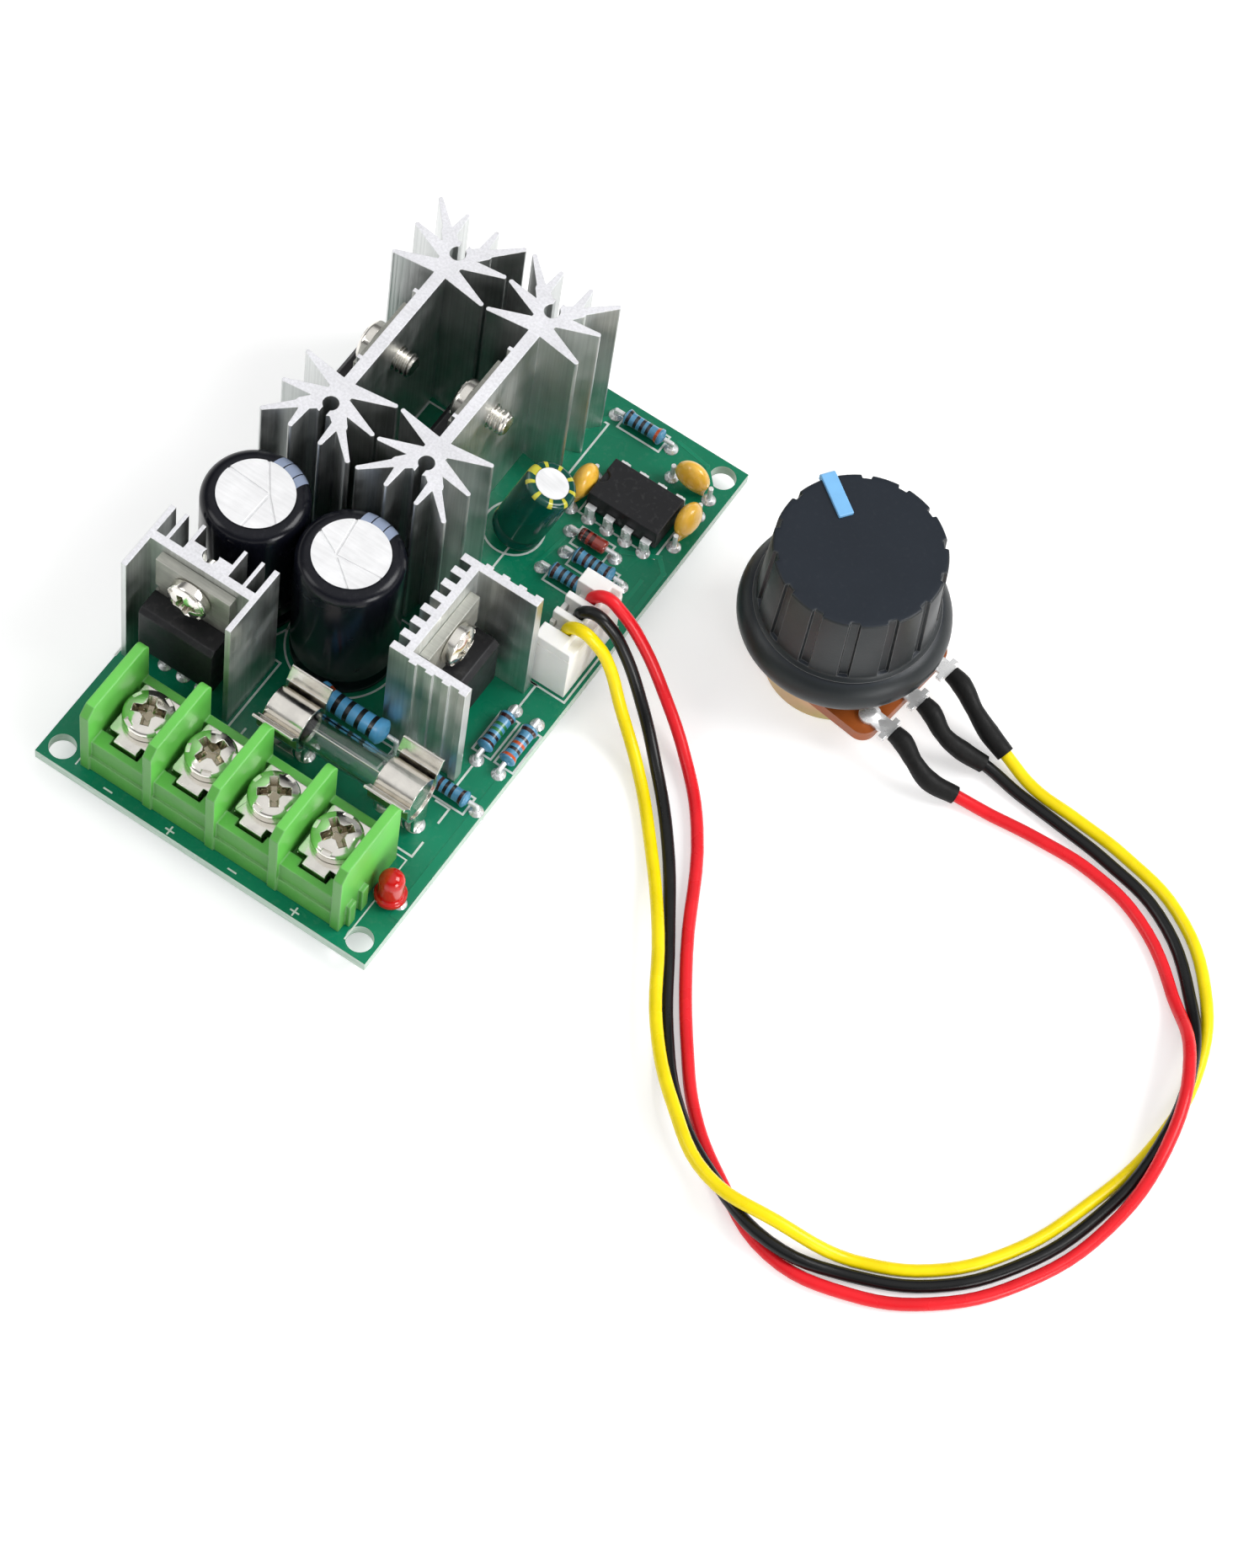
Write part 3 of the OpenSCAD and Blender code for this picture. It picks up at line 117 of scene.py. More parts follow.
class ControllerColours(bpy.types.PropertyGroup):
    """Colours of the controller's finishes."""

    mask: colour("Solder mask", "Lacquer on the board's two faces", (0.001, 0.170, 0.086))
    silk: colour("Silk print", "Outlines and marks on the board", (0.72, 0.78, 0.74))
    laminate: colour("Board edge", "Cut edge of the glass laminate", (0.55, 0.68, 0.58))
    terminal: colour("Terminal", "Moulding of the screw terminal", (0.15, 0.58, 0.09))
    aluminium: colour("Aluminium", "Walls of the heat sinks", (0.78, 0.80, 0.79))
    cut: colour("Cut aluminium", "Sawn ends of the heat sinks", (0.88, 0.875, 0.92))
    nickel: colour("Nickel", "Screws, clamps and fuse clips", (0.88, 0.85, 0.79))
    tin: colour("Tin", "Leads, tabs and solder", (0.88, 0.89, 0.90))
    tab: colour("Transistor tab", "Dull tinned tabs of the transistors", (0.50, 0.50, 0.45))
    case: colour("Black case", "Transistors and chip", (0.012, 0.012, 0.014))
    can_sleeve: colour("Capacitor sleeve", "Film round the large capacitors", (0.0045, 0.005, 0.009))
    can_stripe: colour("Capacitor stripe", "Stripe beside the negative lead", (0.30, 0.36, 0.50))
    can_top: colour("Can top", "Bare end of a capacitor", (0.93, 0.93, 0.94))
    small_sleeve: colour("Small sleeve", "Film round the small capacitor", (0.0, 0.068, 0.048))
    small_mark: colour("Small sleeve mark", "Stripe on the small capacitor", (0.62, 0.58, 0.05))
    ceramic: colour("Ceramic coat", "Dipped coat of the disc capacitors", (0.98, 0.56, 0.06))
    power_coat: colour("Power resistor", "Lacquer of the large resistor", (0.14, 0.56, 1.0))
    small_coat: colour("Small resistors", "Lacquer of the small resistors", (0.085, 0.30, 0.50))
    diode_glass: colour("Diode glass", "Body of the small diode", (0.33, 0.035, 0.02))
    lamp: colour("Lamp", "Lens of the indicator lamp", (0.62, 0.005, 0.003))
    nylon: colour("Nylon", "Header and plug", (0.95, 0.945, 0.92))
    yellow: colour("Yellow wire", "Insulation of the first wire", (0.95, 0.74, 0.0))
    black: colour("Black wire", "Insulation of the second wire", (0.005, 0.0055, 0.006))
    red: colour("Red wire", "Insulation of the third wire", (0.80, 0.012, 0.020))
    shrink: colour("Shrink sleeve", "Sleeves at the control's lugs", (0.006, 0.006, 0.006))
    gold: colour("Passivated steel", "Can and face of the rotary control", (0.56, 0.44, 0.20))
    wafer: colour("Wafer", "Paper laminate under the control's lugs", (0.38, 0.09, 0.013))
    knob: colour("Knob", "Moulding of the knob", (0.0085, 0.0135, 0.022))
    pointer: colour("Pointer", "Insert that shows the setting", (0.20, 0.49, 0.83))
    floor: colour("Floor", "Paper that the parts stand on", (0.80, 0.80, 0.80))


class ControllerSizes(bpy.types.PropertyGroup):
    """Sizes that the CAD frame doesn't fix."""

    silk_width: length("Silk line", "Width of the printed lines", 0.26 * MM)
    silk_height: length("Silk height", "Thickness of the print", 0.02 * MM)
    trace_height: length("Trace height", "Rise of the copper under the mask", 0.05 * MM)
    wire: length("Wire", "Diameter of a wire", 1.5 * MM)
    shrink: length("Shrink sleeve", "Usual diameter of a shrink sleeve", 2.45 * MM)
    can_shoulder: length("Can shoulder", "Rounding of the sleeve over a can's rim", 1.4 * MM)
    score_width: length("Score width", "Width of the lines pressed into a can's end", 0.28 * MM)
    score_depth: length("Score depth", "Depth of the lines pressed into a can's end", 0.13 * MM)
    thread_pitch: length("Thread pitch", "Pitch of the heat sink screws", 0.6 * MM)
    groove_depth: length("Groove depth", "Depth of the knob's grooves", 0.42 * MM)
    round_segments: IntProperty(
        name="Round segments", description="Faces round a spun piece", min=24, max=256, default=96
    )


def colours():
    return bpy.context.scene.controller_colours


def sizes():
    return bpy.context.scene.controller_sizes


# Shader nodes


def add(tree, kind, sockets=None, **settings):
    """Adds a node, sets its options, and fills its sockets with values or links."""
    node = tree.nodes.new(kind)
    for label, value in settings.items():
        setattr(node, label, value)
    for label, value in (sockets or {}).items():
        if isinstance(value, bpy.types.NodeSocket):
            tree.links.new(value, node.inputs[label])
        else:
            node.inputs[label].default_value = value
    return node


def maths(tree, operation, first, second=0.0, clamp=False):
    """One step of arithmetic on values or sockets."""
    node = add(tree, "ShaderNodeMath", {0: first, 1: second}, operation=operation, use_clamp=clamp)
    return node.outputs[0]


def times(tree, first, second, clamp=False):
    return maths(tree, "MULTIPLY", first, second, clamp)


def absolute(tree, value):
    return maths(tree, "ABSOLUTE", value)


def less(tree, value, limit):
    """1 where value is under limit, else 0."""
    return maths(tree, "LESS_THAN", value, limit)


def spread(tree, value, low, high, to_low=0.0, to_high=1.0):
    """Maps value from low..high to to_low..to_high, clamped."""
    sockets = {"Value": value, "From Min": low, "From Max": high, "To Min": to_low, "To Max": to_high}
    return add(tree, "ShaderNodeMapRange", sockets).outputs["Result"]


def opaque(value):
    """A colour with full alpha; sockets pass through."""
    return value if isinstance(value, bpy.types.NodeSocket) else (*tuple(value)[:3], 1.0)


def mixed(tree, factor, first, second, mode="MIX"):
    """Mixes two colours. The numbers are those of the node's factor and colour sockets."""
    sockets = {0: factor, 6: opaque(first), 7: opaque(second)}
    settings = {"data_type": "RGBA", "blend_type": mode, "clamp_factor": True}
    return add(tree, "ShaderNodeMix", sockets, **settings).outputs[2]


def bands(tree, value, stops, interpolation="CONSTANT"):
    """A colour ramp from a list of (position, colour)."""
    node = add(tree, "ShaderNodeValToRGB", {"Fac": value})
    ramp = node.color_ramp
    ramp.interpolation = interpolation
    ramp.elements.remove(ramp.elements[1])
    ramp.elements[0].position = stops[0][0]
    ramp.elements[0].color = opaque(stops[0][1])
    for position, shade in stops[1:]:
        ramp.elements.new(position).color = opaque(shade)
    return node.outputs["Color"]


def object_point(tree):
    return add(tree, "ShaderNodeTexCoord").outputs["Object"]


def axis_part(tree, vector, axis):
    return add(tree, "ShaderNodeSeparateXYZ", {0: vector}).outputs["XYZ".index(axis)]


def normal_part(tree, axis):
    """How far a face looks along one of the object's axes."""
    return axis_part(tree, add(tree, "ShaderNodeTexCoord").outputs["Normal"], axis)


def mapped(tree, point, **changes):
    """A point moved, turned or scaled; each change is named as the Mapping node's socket."""
    return add(tree, "ShaderNodeMapping", {"Vector": point, **changes}).outputs[0]


def noise(tree, scale, detail, point=None):
    """Noise from 0 to 1 over a point, or else over the object's own coordinates."""
    sockets = {"Vector": point or object_point(tree), "Scale": scale, "Detail": detail}
    return add(tree, "ShaderNodeTexNoise", sockets).outputs["Fac"]


def new_group(name, inputs, outputs):
    """A shader node group with named sockets, and its input and output nodes."""
    tree = bpy.data.node_groups.new(name, "ShaderNodeTree")
    for label, value in inputs.items():
        kind = "NodeSocketVector" if isinstance(value, tuple) else "NodeSocketFloat"
        socket = tree.interface.new_socket(name=label, in_out="INPUT", socket_type=kind)
        socket.default_value = value
    for label, kind in outputs.items():
        tree.interface.new_socket(name=label, in_out="OUTPUT", socket_type="NodeSocket" + kind)
    return tree, tree.nodes.new("NodeGroupInput").outputs, tree.nodes.new("NodeGroupOutput").inputs


def mottle_group():
    """Soft uneven patches, as in moulded or plated surfaces."""
    tree, given, out = new_group("Mottle", {"Scale": 500.0, "Detail": 4.0}, {"Mask": "Float"})
    patches = noise(tree, given["Scale"], given["Detail"])
    tree.links.new(spread(tree, patches, 0.32, 0.68), out["Mask"])
    return tree


def drawn_group():
    """Fine lines along one direction, from drawing, sawing or brushing."""
    inputs = {"Stretch": (4000.0, 4000.0, 60.0), "Turn": (0.0, 0.0, 0.0)}
    tree, given, out = new_group("Drawn lines", inputs, {"Mask": "Float"})
    point = mapped(tree, object_point(tree), Rotation=given["Turn"], Scale=given["Stretch"])
    tree.links.new(spread(tree, noise(tree, 1.0, 3.0, point), 0.35, 0.65), out["Mask"])
    return tree


def edge_group():
    """Rounded normals near sharp edges, and a mask of where they are."""
    inputs = {"Radius": 0.0001, "Gain": 6.0}
    tree, given, out = new_group("Soft edges", inputs, {"Mask": "Float", "Normal": "Vector"})
    rounded = add(tree, "ShaderNodeBevel", {"Radius": given["Radius"]}, samples=4).outputs[0]
    flat = add(tree, "ShaderNodeNewGeometry").outputs["Normal"]
    agree = add(tree, "ShaderNodeVectorMath", {0: rounded, 1: flat}, operation="DOT_PRODUCT")
    bent = maths(tree, "SUBTRACT", 1.0, agree.outputs["Value"])
    tree.links.new(times(tree, bent, given["Gain"], clamp=True), out["Mask"])
    tree.links.new(rounded, out["Normal"])
    return tree


def dust_group():
    """Specks and a thin film on faces that look up."""
    tree, given, out = new_group("Dust", {"Amount": 0.2, "Scale": 1500.0}, {"Mask": "Float"})
    specks = spread(tree, noise(tree, given["Scale"], 6.0), 0.55, 0.75)
    film = times(tree, spread(tree, normal_part(tree, "Z"), 0.3, 1.0), specks)
    tree.links.new(times(tree, film, given["Amount"], clamp=True), out["Mask"])
    return tree


def scratch_group():
    """Sparse thin scratches in one slanted direction."""
    inputs = {"Density": 0.3, "Turn": (0.3, 0.2, 0.6)}
    tree, given, out = new_group("Scratches", inputs, {"Mask": "Float"})
    point = mapped(tree, object_point(tree), Rotation=given["Turn"], Scale=(9000.0, 260.0, 4000.0))
    level = maths(tree, "SUBTRACT", 0.86, times(tree, given["Density"], 0.2))
    above = maths(tree, "SUBTRACT", noise(tree, 1.0, 1.0, point), level)
    tree.links.new(times(tree, above, 14.0, clamp=True), out["Mask"])
    return tree


GROUP_MAKERS = {
    "Mottle": mottle_group,
    "Drawn lines": drawn_group,
    "Soft edges": edge_group,
    "Dust": dust_group,
    "Scratches": scratch_group,
}


def effect(tree, name, **inputs):
    """Places a shared effect in a material; it is built on its first use."""
    group = bpy.data.node_groups.get(name) or GROUP_MAKERS[name]()
    node = tree.nodes.new("ShaderNodeGroup")
    node.node_tree = group
    for label, value in inputs.items():
        node.inputs[label].default_value = value
    return node


# Finishes

# Pale shade of bare edges, partly real wear and partly painted highlight along them
BARE_AND_HIGHLIGHT_SHADE = (0.9, 0.9, 0.9)
LINE_SHADE = (0.02, 0.02, 0.02)
DUST_SHADE = (0.62, 0.62, 0.6)
# Depth of a scratch in millimetres, and how much rougher scratches and dust make a surface
SCRATCH_DEPTH, SCRATCH_ROUGHNESS, DUST_ROUGHNESS = 0.01, 0.2, 0.4
COAT_ROUGHNESS = 0.12

# The settings of each surface. patches: scale and depth of the mottling. wear: radius of the worn
# edges in metres, and how bare they are; the bare edges are partly real wear and partly painted
# highlight. grain: scale, and height in millimetres. lines: stretch, height in millimetres, and
# darkening.
FINISHES = {
    "Shrink sleeve": dict(
        roughness=(0.46, 0.62), patches=(900.0, 0.3), wear_and_highlight=(0.0001, 0.0), grain=(1400.0, 0.06),
        sockets={"Specular IOR Level": 0.2},
    ),
    "Insulation": dict(
        roughness=(0.22, 0.34), patches=(260.0, 0.14), wear_and_highlight=(0.00005, 0.0), grain=(1800.0, 0.006),
        sockets={"Specular IOR Level": 0.3},
    ),
    "Solder mask": dict(
        roughness=(0.22, 0.34), patches=(120.0, 0.06), wear_and_highlight=(0.00006, 0.12), grain=(2600.0, 0.004),
        dust=0.03, sockets={"Specular IOR Level": 0.28},
    ),
    "Lacquered track": dict(
        roughness=(0.16, 0.28), patches=(200.0, 0.08), wear_and_highlight=(0.00005, 0.1), grain=(2600.0, 0.004),
        sockets={"Specular IOR Level": 0.28},
    ),
    "Silk print": dict(
        roughness=(0.45, 0.6), patches=(1600.0, 0.18), wear_and_highlight=(0.00002, 0.0), grain=(5200.0, 0.004),
    ),
    "Solder": dict(
        roughness=(0.18, 0.30), metallic=0.6, patches=(900.0, 0.06), wear_and_highlight=(0.00015, 0.0),
        grain=(900.0, 0.004),
    ),
    "Tinned lead": dict(
        roughness=(0.24, 0.38), metallic=0.45, patches=(900.0, 0.08), wear_and_highlight=(0.0001, 0.3),
        grain=(2400.0, 0.003),
    ),
    "Terminal moulding": dict(
        roughness=(0.30, 0.44), patches=(160.0, 0.10), wear_and_highlight=(0.00030, 0.16), grain=(3000.0, 0.006),
        dust=0.03, sockets={"Subsurface Weight": 0.15, "Subsurface Radius": (0.001, 0.002, 0.001)},
    ),
    "Screw plate": dict(
        roughness=(0.10, 0.18), metallic=1.0, patches=(700.0, 0.10), wear_and_highlight=(0.00012, 0.3),
        grain=(1500.0, 0.006),
    ),
    "Nickel plate": dict(
        roughness=(0.12, 0.22), metallic=1.0, patches=(700.0, 0.14), wear_and_highlight=(0.00016, 0.3),
        grain=(1500.0, 0.008), scratches=0.1,
    ),
    "Thread steel": dict(
        roughness=(0.16, 0.26), metallic=1.0, patches=(900.0, 0.08), wear_and_highlight=(0.00002, 0.0),
        grain=(1500.0, 0.002),
    ),
    "Fuse glass": dict(
        roughness=(0.02, 0.05), patches=(300.0, 0.02), wear_and_highlight=(0.00005, 0.0), grain=(500.0, 0.002),
        sockets={"Transmission Weight": 1.0, "IOR": 1.5},
    ),
    "Extruded aluminium": dict(
        roughness=(0.30, 0.48), patches=(220.0, 0.12), wear_and_highlight=(0.00012, 0.6), grain=(2600.0, 0.003),
        lines=((3200.0, 3200.0, 40.0), 0.008, 0.14),
    ),
    "Tinned tab": dict(
        roughness=(0.40, 0.55), metallic=0.8, patches=(500.0, 0.2), wear_and_highlight=(0.00012, 0.25),
        grain=(2400.0, 0.008), lines=((300.0, 4000.0, 4000.0), 0.006, 0.15),
    ),
    "Transistor case": dict(
        roughness=(0.36, 0.5), patches=(500.0, 0.2), wear_and_highlight=(0.00015, 0.05), grain=(3200.0, 0.012),
        dust=0.03, sockets={"Specular IOR Level": 0.3},
    ),
    "Can end": dict(
        roughness=(0.30, 0.46), metallic=0.15, patches=(420.0, 0.10), wear_and_highlight=(0.00004, 0.0),
        grain=(2600.0, 0.002), lines=((260.0, 2600.0, 400.0), 0.0015, 0.08),
    ),
    "Can film": dict(
        roughness=(0.16, 0.28), patches=(200.0, 0.2), wear_and_highlight=(0.0002, 0.0), grain=(1500.0, 0.003),
        dust=0.01, sockets={"Specular IOR Level": 0.26},
    ),
    "Small can film": dict(
        roughness=(0.12, 0.24), patches=(300.0, 0.2), wear_and_highlight=(0.0001, 0.02), grain=(1500.0, 0.008),
        coat=0.2,
    ),
    "Dipped coat": dict(
        roughness=(0.20, 0.34), patches=(420.0, 0.18), wear_and_highlight=(0.0001, 0.0), grain=(900.0, 0.03),
        coat=0.5, sockets={"Subsurface Weight": 0.1, "Subsurface Radius": (0.002, 0.001, 0.0005)},
    ),
    "Resistor lacquer": dict(
        roughness=(0.18, 0.32), patches=(900.0, 0.2), wear_and_highlight=(0.00005, 0.0), grain=(1800.0, 0.03),
        coat=0.5,
    ),
    "Power resistor lacquer": dict(
        roughness=(0.25, 0.42), patches=(500.0, 0.18), wear_and_highlight=(0.00005, 0.0), grain=(1600.0, 0.03),
        coat=0.3,
    ),
    "Diode glass": dict(
        roughness=(0.06, 0.14), patches=(1200.0, 0.25), wear_and_highlight=(0.00005, 0.0), grain=(1500.0, 0.006),
        coat=0.8,
    ),
    "Lamp lens": dict(
        roughness=(0.08, 0.16), patches=(500.0, 0.15), wear_and_highlight=(0.0001, 0.0), grain=(1500.0, 0.004),
        coat=0.15, sockets={"Subsurface Weight": 0.15, "Subsurface Radius": (0.002, 0.0003, 0.0003)},
    ),
    "Nylon": dict(
        roughness=(0.36, 0.5), patches=(300.0, 0.05), wear_and_highlight=(0.00015, 0.2), grain=(2600.0, 0.005),
        sockets={"Subsurface Weight": 0.2, "Subsurface Radius": (0.001, 0.0009, 0.0007)},
    ),
    "Passivated steel": dict(
        roughness=(0.28, 0.42), metallic=0.9, patches=(300.0, 0.2), wear_and_highlight=(0.00015, 0.2),
        grain=(2400.0, 0.012), scratches=0.3,
    ),
    "Paper laminate": dict(
        roughness=(0.32, 0.48), patches=(500.0, 0.22), wear_and_highlight=(0.00012, 0.12), grain=(1800.0, 0.03),
        lines=((300.0, 300.0, 7000.0), 0.006, 0.12),
    ),
    "Silvered brass": dict(
        roughness=(0.20, 0.34), metallic=0.6, patches=(700.0, 0.1), wear_and_highlight=(0.00012, 0.3),
        grain=(1500.0, 0.006),
    ),
    "Carbon and rotor": dict(roughness=(0.5, 0.7), patches=(800.0, 0.3)),
    # Painted highlight: the knob's pale worn edges stand mostly for highlights along them
    "Knob moulding": dict(
        roughness=(0.34, 0.44), patches=(240.0, 0.08), wear_and_highlight=(0.00014, 0.16), grain=(3400.0, 0.010),
        dust=0.006, sockets={"Specular IOR Level": 0.35},
    ),
    "Pointer insert": dict(
        roughness=(0.26, 0.38), patches=(500.0, 0.08), wear_and_highlight=(0.0001, 0.25), grain=(3000.0, 0.006),
    ),
}


def finish(name, paint, like=None, **settings):
    """A procedural finish with the settings that FINISHES gives under its name, or under like."""
    return surface(name, paint, **FINISHES[like or name], **settings)


def surface(
    name,
    paint,
    roughness=(0.35, 0.5),
    metallic=0.0,
    patches=(500.0, 0.12),
    wear_and_highlight=(0.0001, 0.25),
    grain=(5000.0, 0.004),
    lines=None,
    scratches=0.0,
    dust=0.0,
    coat=0.0,
    sockets=None,
):
    """Draws a finish. paint and metallic are values, or functions that draw them in the tree."""
    material = bpy.data.materials.new(name)
    material.use_nodes = True
    tree = material.node_tree
    shader = tree.nodes["Principled BSDF"]
    (patch_scale, patch_depth), (edge_radius, bareness_and_highlight) = patches, wear_and_highlight
    grain_scale, grain_height = grain
    base = paint(tree) if callable(paint) else opaque(paint)
    mottle = effect(tree, "Mottle", Scale=patch_scale).outputs["Mask"]
    darker = mixed(tree, 1.0, base, (1 - patch_depth,) * 3, "MULTIPLY")
    shade = mixed(tree, mottle, darker, base)
    edges = effect(tree, "Soft edges", Radius=edge_radius)
    # Edges are painted pale: partly wear, partly painted highlight
    worn_and_highlit = mixed(tree, times(tree, edges.outputs["Mask"], bareness_and_highlight), shade, BARE_AND_HIGHLIGHT_SHADE)
    rough = spread(tree, mottle, 0.0, 1.0, *roughness)
    height = times(tree, noise(tree, grain_scale, 3.0), grain_height)
    if lines:
        stretch, rise, darkening = lines
        drawn = effect(tree, "Drawn lines", Stretch=stretch).outputs["Mask"]
        height = maths(tree, "ADD", height, times(tree, drawn, rise))
        worn_and_highlit = mixed(tree, times(tree, drawn, darkening), worn_and_highlit, LINE_SHADE)
    if scratches:
        marks = effect(tree, "Scratches", Density=scratches).outputs["Mask"]
        height = maths(tree, "SUBTRACT", height, times(tree, marks, SCRATCH_DEPTH))
        rough = maths(tree, "ADD", rough, times(tree, marks, SCRATCH_ROUGHNESS))
    if dust:
        film = effect(tree, "Dust", Amount=dust).outputs["Mask"]
        worn_and_highlit = mixed(tree, film, worn_and_highlit, DUST_SHADE)
        rough = maths(tree, "ADD", rough, times(tree, film, DUST_ROUGHNESS))
    relief = {"Height": height, "Distance": MM, "Strength": 1.0, "Normal": edges.outputs["Normal"]}
    bump = add(tree, "ShaderNodeBump", relief)
    tree.links.new(worn_and_highlit, shader.inputs["Base Color"])
    tree.links.new(rough, shader.inputs["Roughness"])
    tree.links.new(bump.outputs[0], shader.inputs["Normal"])
    if callable(metallic):
        tree.links.new(metallic(tree), shader.inputs["Metallic"])
        metallic = 1.0
    plain = {"Metallic": metallic, "Coat Weight": coat, "Coat Roughness": COAT_ROUGHNESS}
    for label, value in {**plain, **(sockets or {})}.items():
        shader.inputs[label].default_value = value
    return material


def nickel():
    """Bright nickel plate with soft mottling, made once."""
    return bpy.data.materials.get("Nickel plate") or finish("Nickel plate", colours().nickel)


def screw_plate():
    """Nickel plate with painted shade: dull and brownish down in a recess, made once."""

    def paint(tree):
        # Painted shade: the recess is painted dull brown
        deep = add(tree, "ShaderNodeAttribute", attribute_name="deep").outputs["Fac"]
        return mixed(tree, times(tree, deep, 0.8), colours().nickel, (0.28, 0.23, 0.13))

    return bpy.data.materials.get("Screw plate") or finish("Screw plate", paint)


def lifted(shade, gain, rise):
    """A lighter version of a colour."""
    return tuple(min(1.0, part * gain + rise) for part in shade)


# Geometry


def rotation(degrees, axis="Z"):
    return Matrix.Rotation(math.radians(degrees), 4, axis)


def facing(way):
    """Turns +Z to look along way."""
    return Vector(way).to_track_quat("Z", "Y").to_matrix().to_4x4()


def in_scene(name, data):
    """A new object, linked to the scene."""
    thing = bpy.data.objects.new(name, data)
    bpy.context.scene.collection.objects.link(thing)
    return thing


def mesh_of(name, shape):
    """Turns a bmesh into a mesh, and frees it."""
    mesh = bpy.data.meshes.new(name)
    shape.to_mesh(mesh)
    shape.free()
    return mesh


def modify(thing, name, kind, **settings):
    """Adds a modifier with its settings."""
    modifier = thing.modifiers.new(name, kind)
    for label, value in settings.items():
        setattr(modifier, label, value)


def piece_from(name, shape, material, body=ROOT, replaced=(), sharp=35.0):
    """Turns a bmesh into a piece on its body, smooth but for edges sharper than sharp degrees."""
    bmesh.ops.remove_doubles(shape, verts=shape.verts, dist=WELD)
    bmesh.ops.recalc_face_normals(shape, faces=shape.faces)
    for face in shape.faces:
        face.smooth = True
    for line in shape.edges:
        if len(line.link_faces) == 2 and line.calc_face_angle(0.0) > math.radians(sharp):
            line.smooth = False
    mesh = mesh_of(name, shape)
    mesh.materials.clear()
    mesh.materials.append(material)
    piece = in_scene(name, mesh)
    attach(piece, body)
    if replaced:
        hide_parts(*replaced)
    return piece


def swept(profile, angle, steps, rise=0.0):
    """Turns a list of (radius, height) points about Z, and lifts them by rise at each step."""
    shape = bmesh.new()
    verts = [shape.verts.new((radius, 0.0, height)) for radius, height in profile]
    lines = [shape.edges.new(pair) for pair in zip(verts, verts[1:])]
    bmesh.ops.spin(
        shape,
        geom=verts + lines,
        cent=(0, 0, 0),
        axis=(0, 0, 1),
        dvec=(0, 0, rise),
        angle=angle,
        steps=steps,
        use_merge=not rise,
        use_duplicate=False,
    )
    return shape


def spun(profile, steps=None):
    """A closed solid of revolution about Z."""
    shape = swept(profile, FULL_TURN, steps or sizes().round_segments)
    bmesh.ops.remove_doubles(shape, verts=shape.verts, dist=WELD)
    return shape


def moved(shape, matrix):
    bmesh.ops.transform(shape, matrix=matrix, verts=shape.verts)
    return shape


def arc(centre, radius, start, end, count):
    """Points on an arc in the (radius, height) plane, angles in degrees."""
    points = []
    for index in range(count + 1):
        angle = math.radians(start + (end - start) * index / count)
        points.append((centre[0] + radius * math.cos(angle), centre[1] + radius * math.sin(angle)))
    return points


def mark_along(shape, reach):
    """Keeps each corner's place along the axis, from 0 to 1, as an attribute."""
    along = shape.verts.layers.float.new("along")
    for vert in shape.verts:
        vert[along] = vert.co.z / reach + 0.5


def add_bar(shape, start, end, width, height):
    """A flat bar from start to end, whose underside is at their height.

    The height differs a little with the direction, so that bars that cross share no top face.
    """
    reach = end - start
    turn = math.atan2(reach.y, reach.x)
    height *= 1 + 0.15 * abs(math.sin(3.0 * turn + 1.0))
    centre = (start + end) / 2 + Vector((0, 0, height / 2))
    size = Matrix.Diagonal((reach.length + width, width, height, 1))
    place = Matrix.Translation(centre) @ Matrix.Rotation(turn, 4, "Z") @ size
    bmesh.ops.create_cube(shape, size=1.0, matrix=place)


def add_frame(shape, low, high, width, height, gaps=()):
    """The outline of a rectangle, without the sides named in gaps."""
    places = ((low.x, low.y), (high.x, low.y), (high.x, high.y), (low.x, high.y))
    corners = [Vector((*place, low.z)) for place in places]
    for index, side in enumerate(("front", "right", "back", "left")):
        if side not in gaps:
            add_bar(shape, corners[index], corners[(index + 1) % 4], width, height)


def add_ring(shape, centre, radius, width, height):
    """A flat ring of the given width."""
    outer = radius + width
    ring = spun([(radius, 0), (outer, 0), (outer, height), (radius, height), (radius, 0)], steps=64)
    copy_into(shape, moved(ring, Matrix.Translation(centre)))


def copy_into(shape, other):
    """Moves the geometry of another bmesh into shape."""
    mesh = mesh_of("passing", other)
    shape.from_mesh(mesh)
    bpy.data.meshes.remove(mesh)


def carved(shape, cutter):
    """One bmesh with another cut out of it."""
    things = []
    for label, made in (("whole", shape), ("cutter", cutter)):
        bmesh.ops.recalc_face_normals(made, faces=made.faces)
        things.append(in_scene(label, mesh_of(label, made)))
    whole, tool = things
    modify(whole, "Cut", "BOOLEAN", operation="DIFFERENCE", solver="EXACT", object=tool)
    bpy.context.view_layer.update()
    seen = whole.evaluated_get(bpy.context.evaluated_depsgraph_get())
    result = bmesh.new()
    result.from_mesh(seen.to_mesh())
    seen.to_mesh_clear()
    for thing in things:
        mesh = thing.data
        bpy.data.objects.remove(thing)
        bpy.data.meshes.remove(mesh)
    return result


# CAD faces that meet at a sharper angle than this have a sharp or a rounded edge between them
SHARP_EDGE = math.radians(32)
# Radii of the rounded edges in millimetres; the edges of other nodes stay sharp
ROUNDINGS = {
    "terminal_body": 0.32,
    **{"terminal_clamp_%d" % index: 0.2 for index in range(1, 5)},
    **dict.fromkeys(("star_sink_left", "star_sink_right", "sink_left", "sink_right"), 0.10),
    "transistor_cases": 0.14,
    **dict.fromkeys(("transistor_tabs", "chip", "header", "plug", "pointer"), 0.12),
}


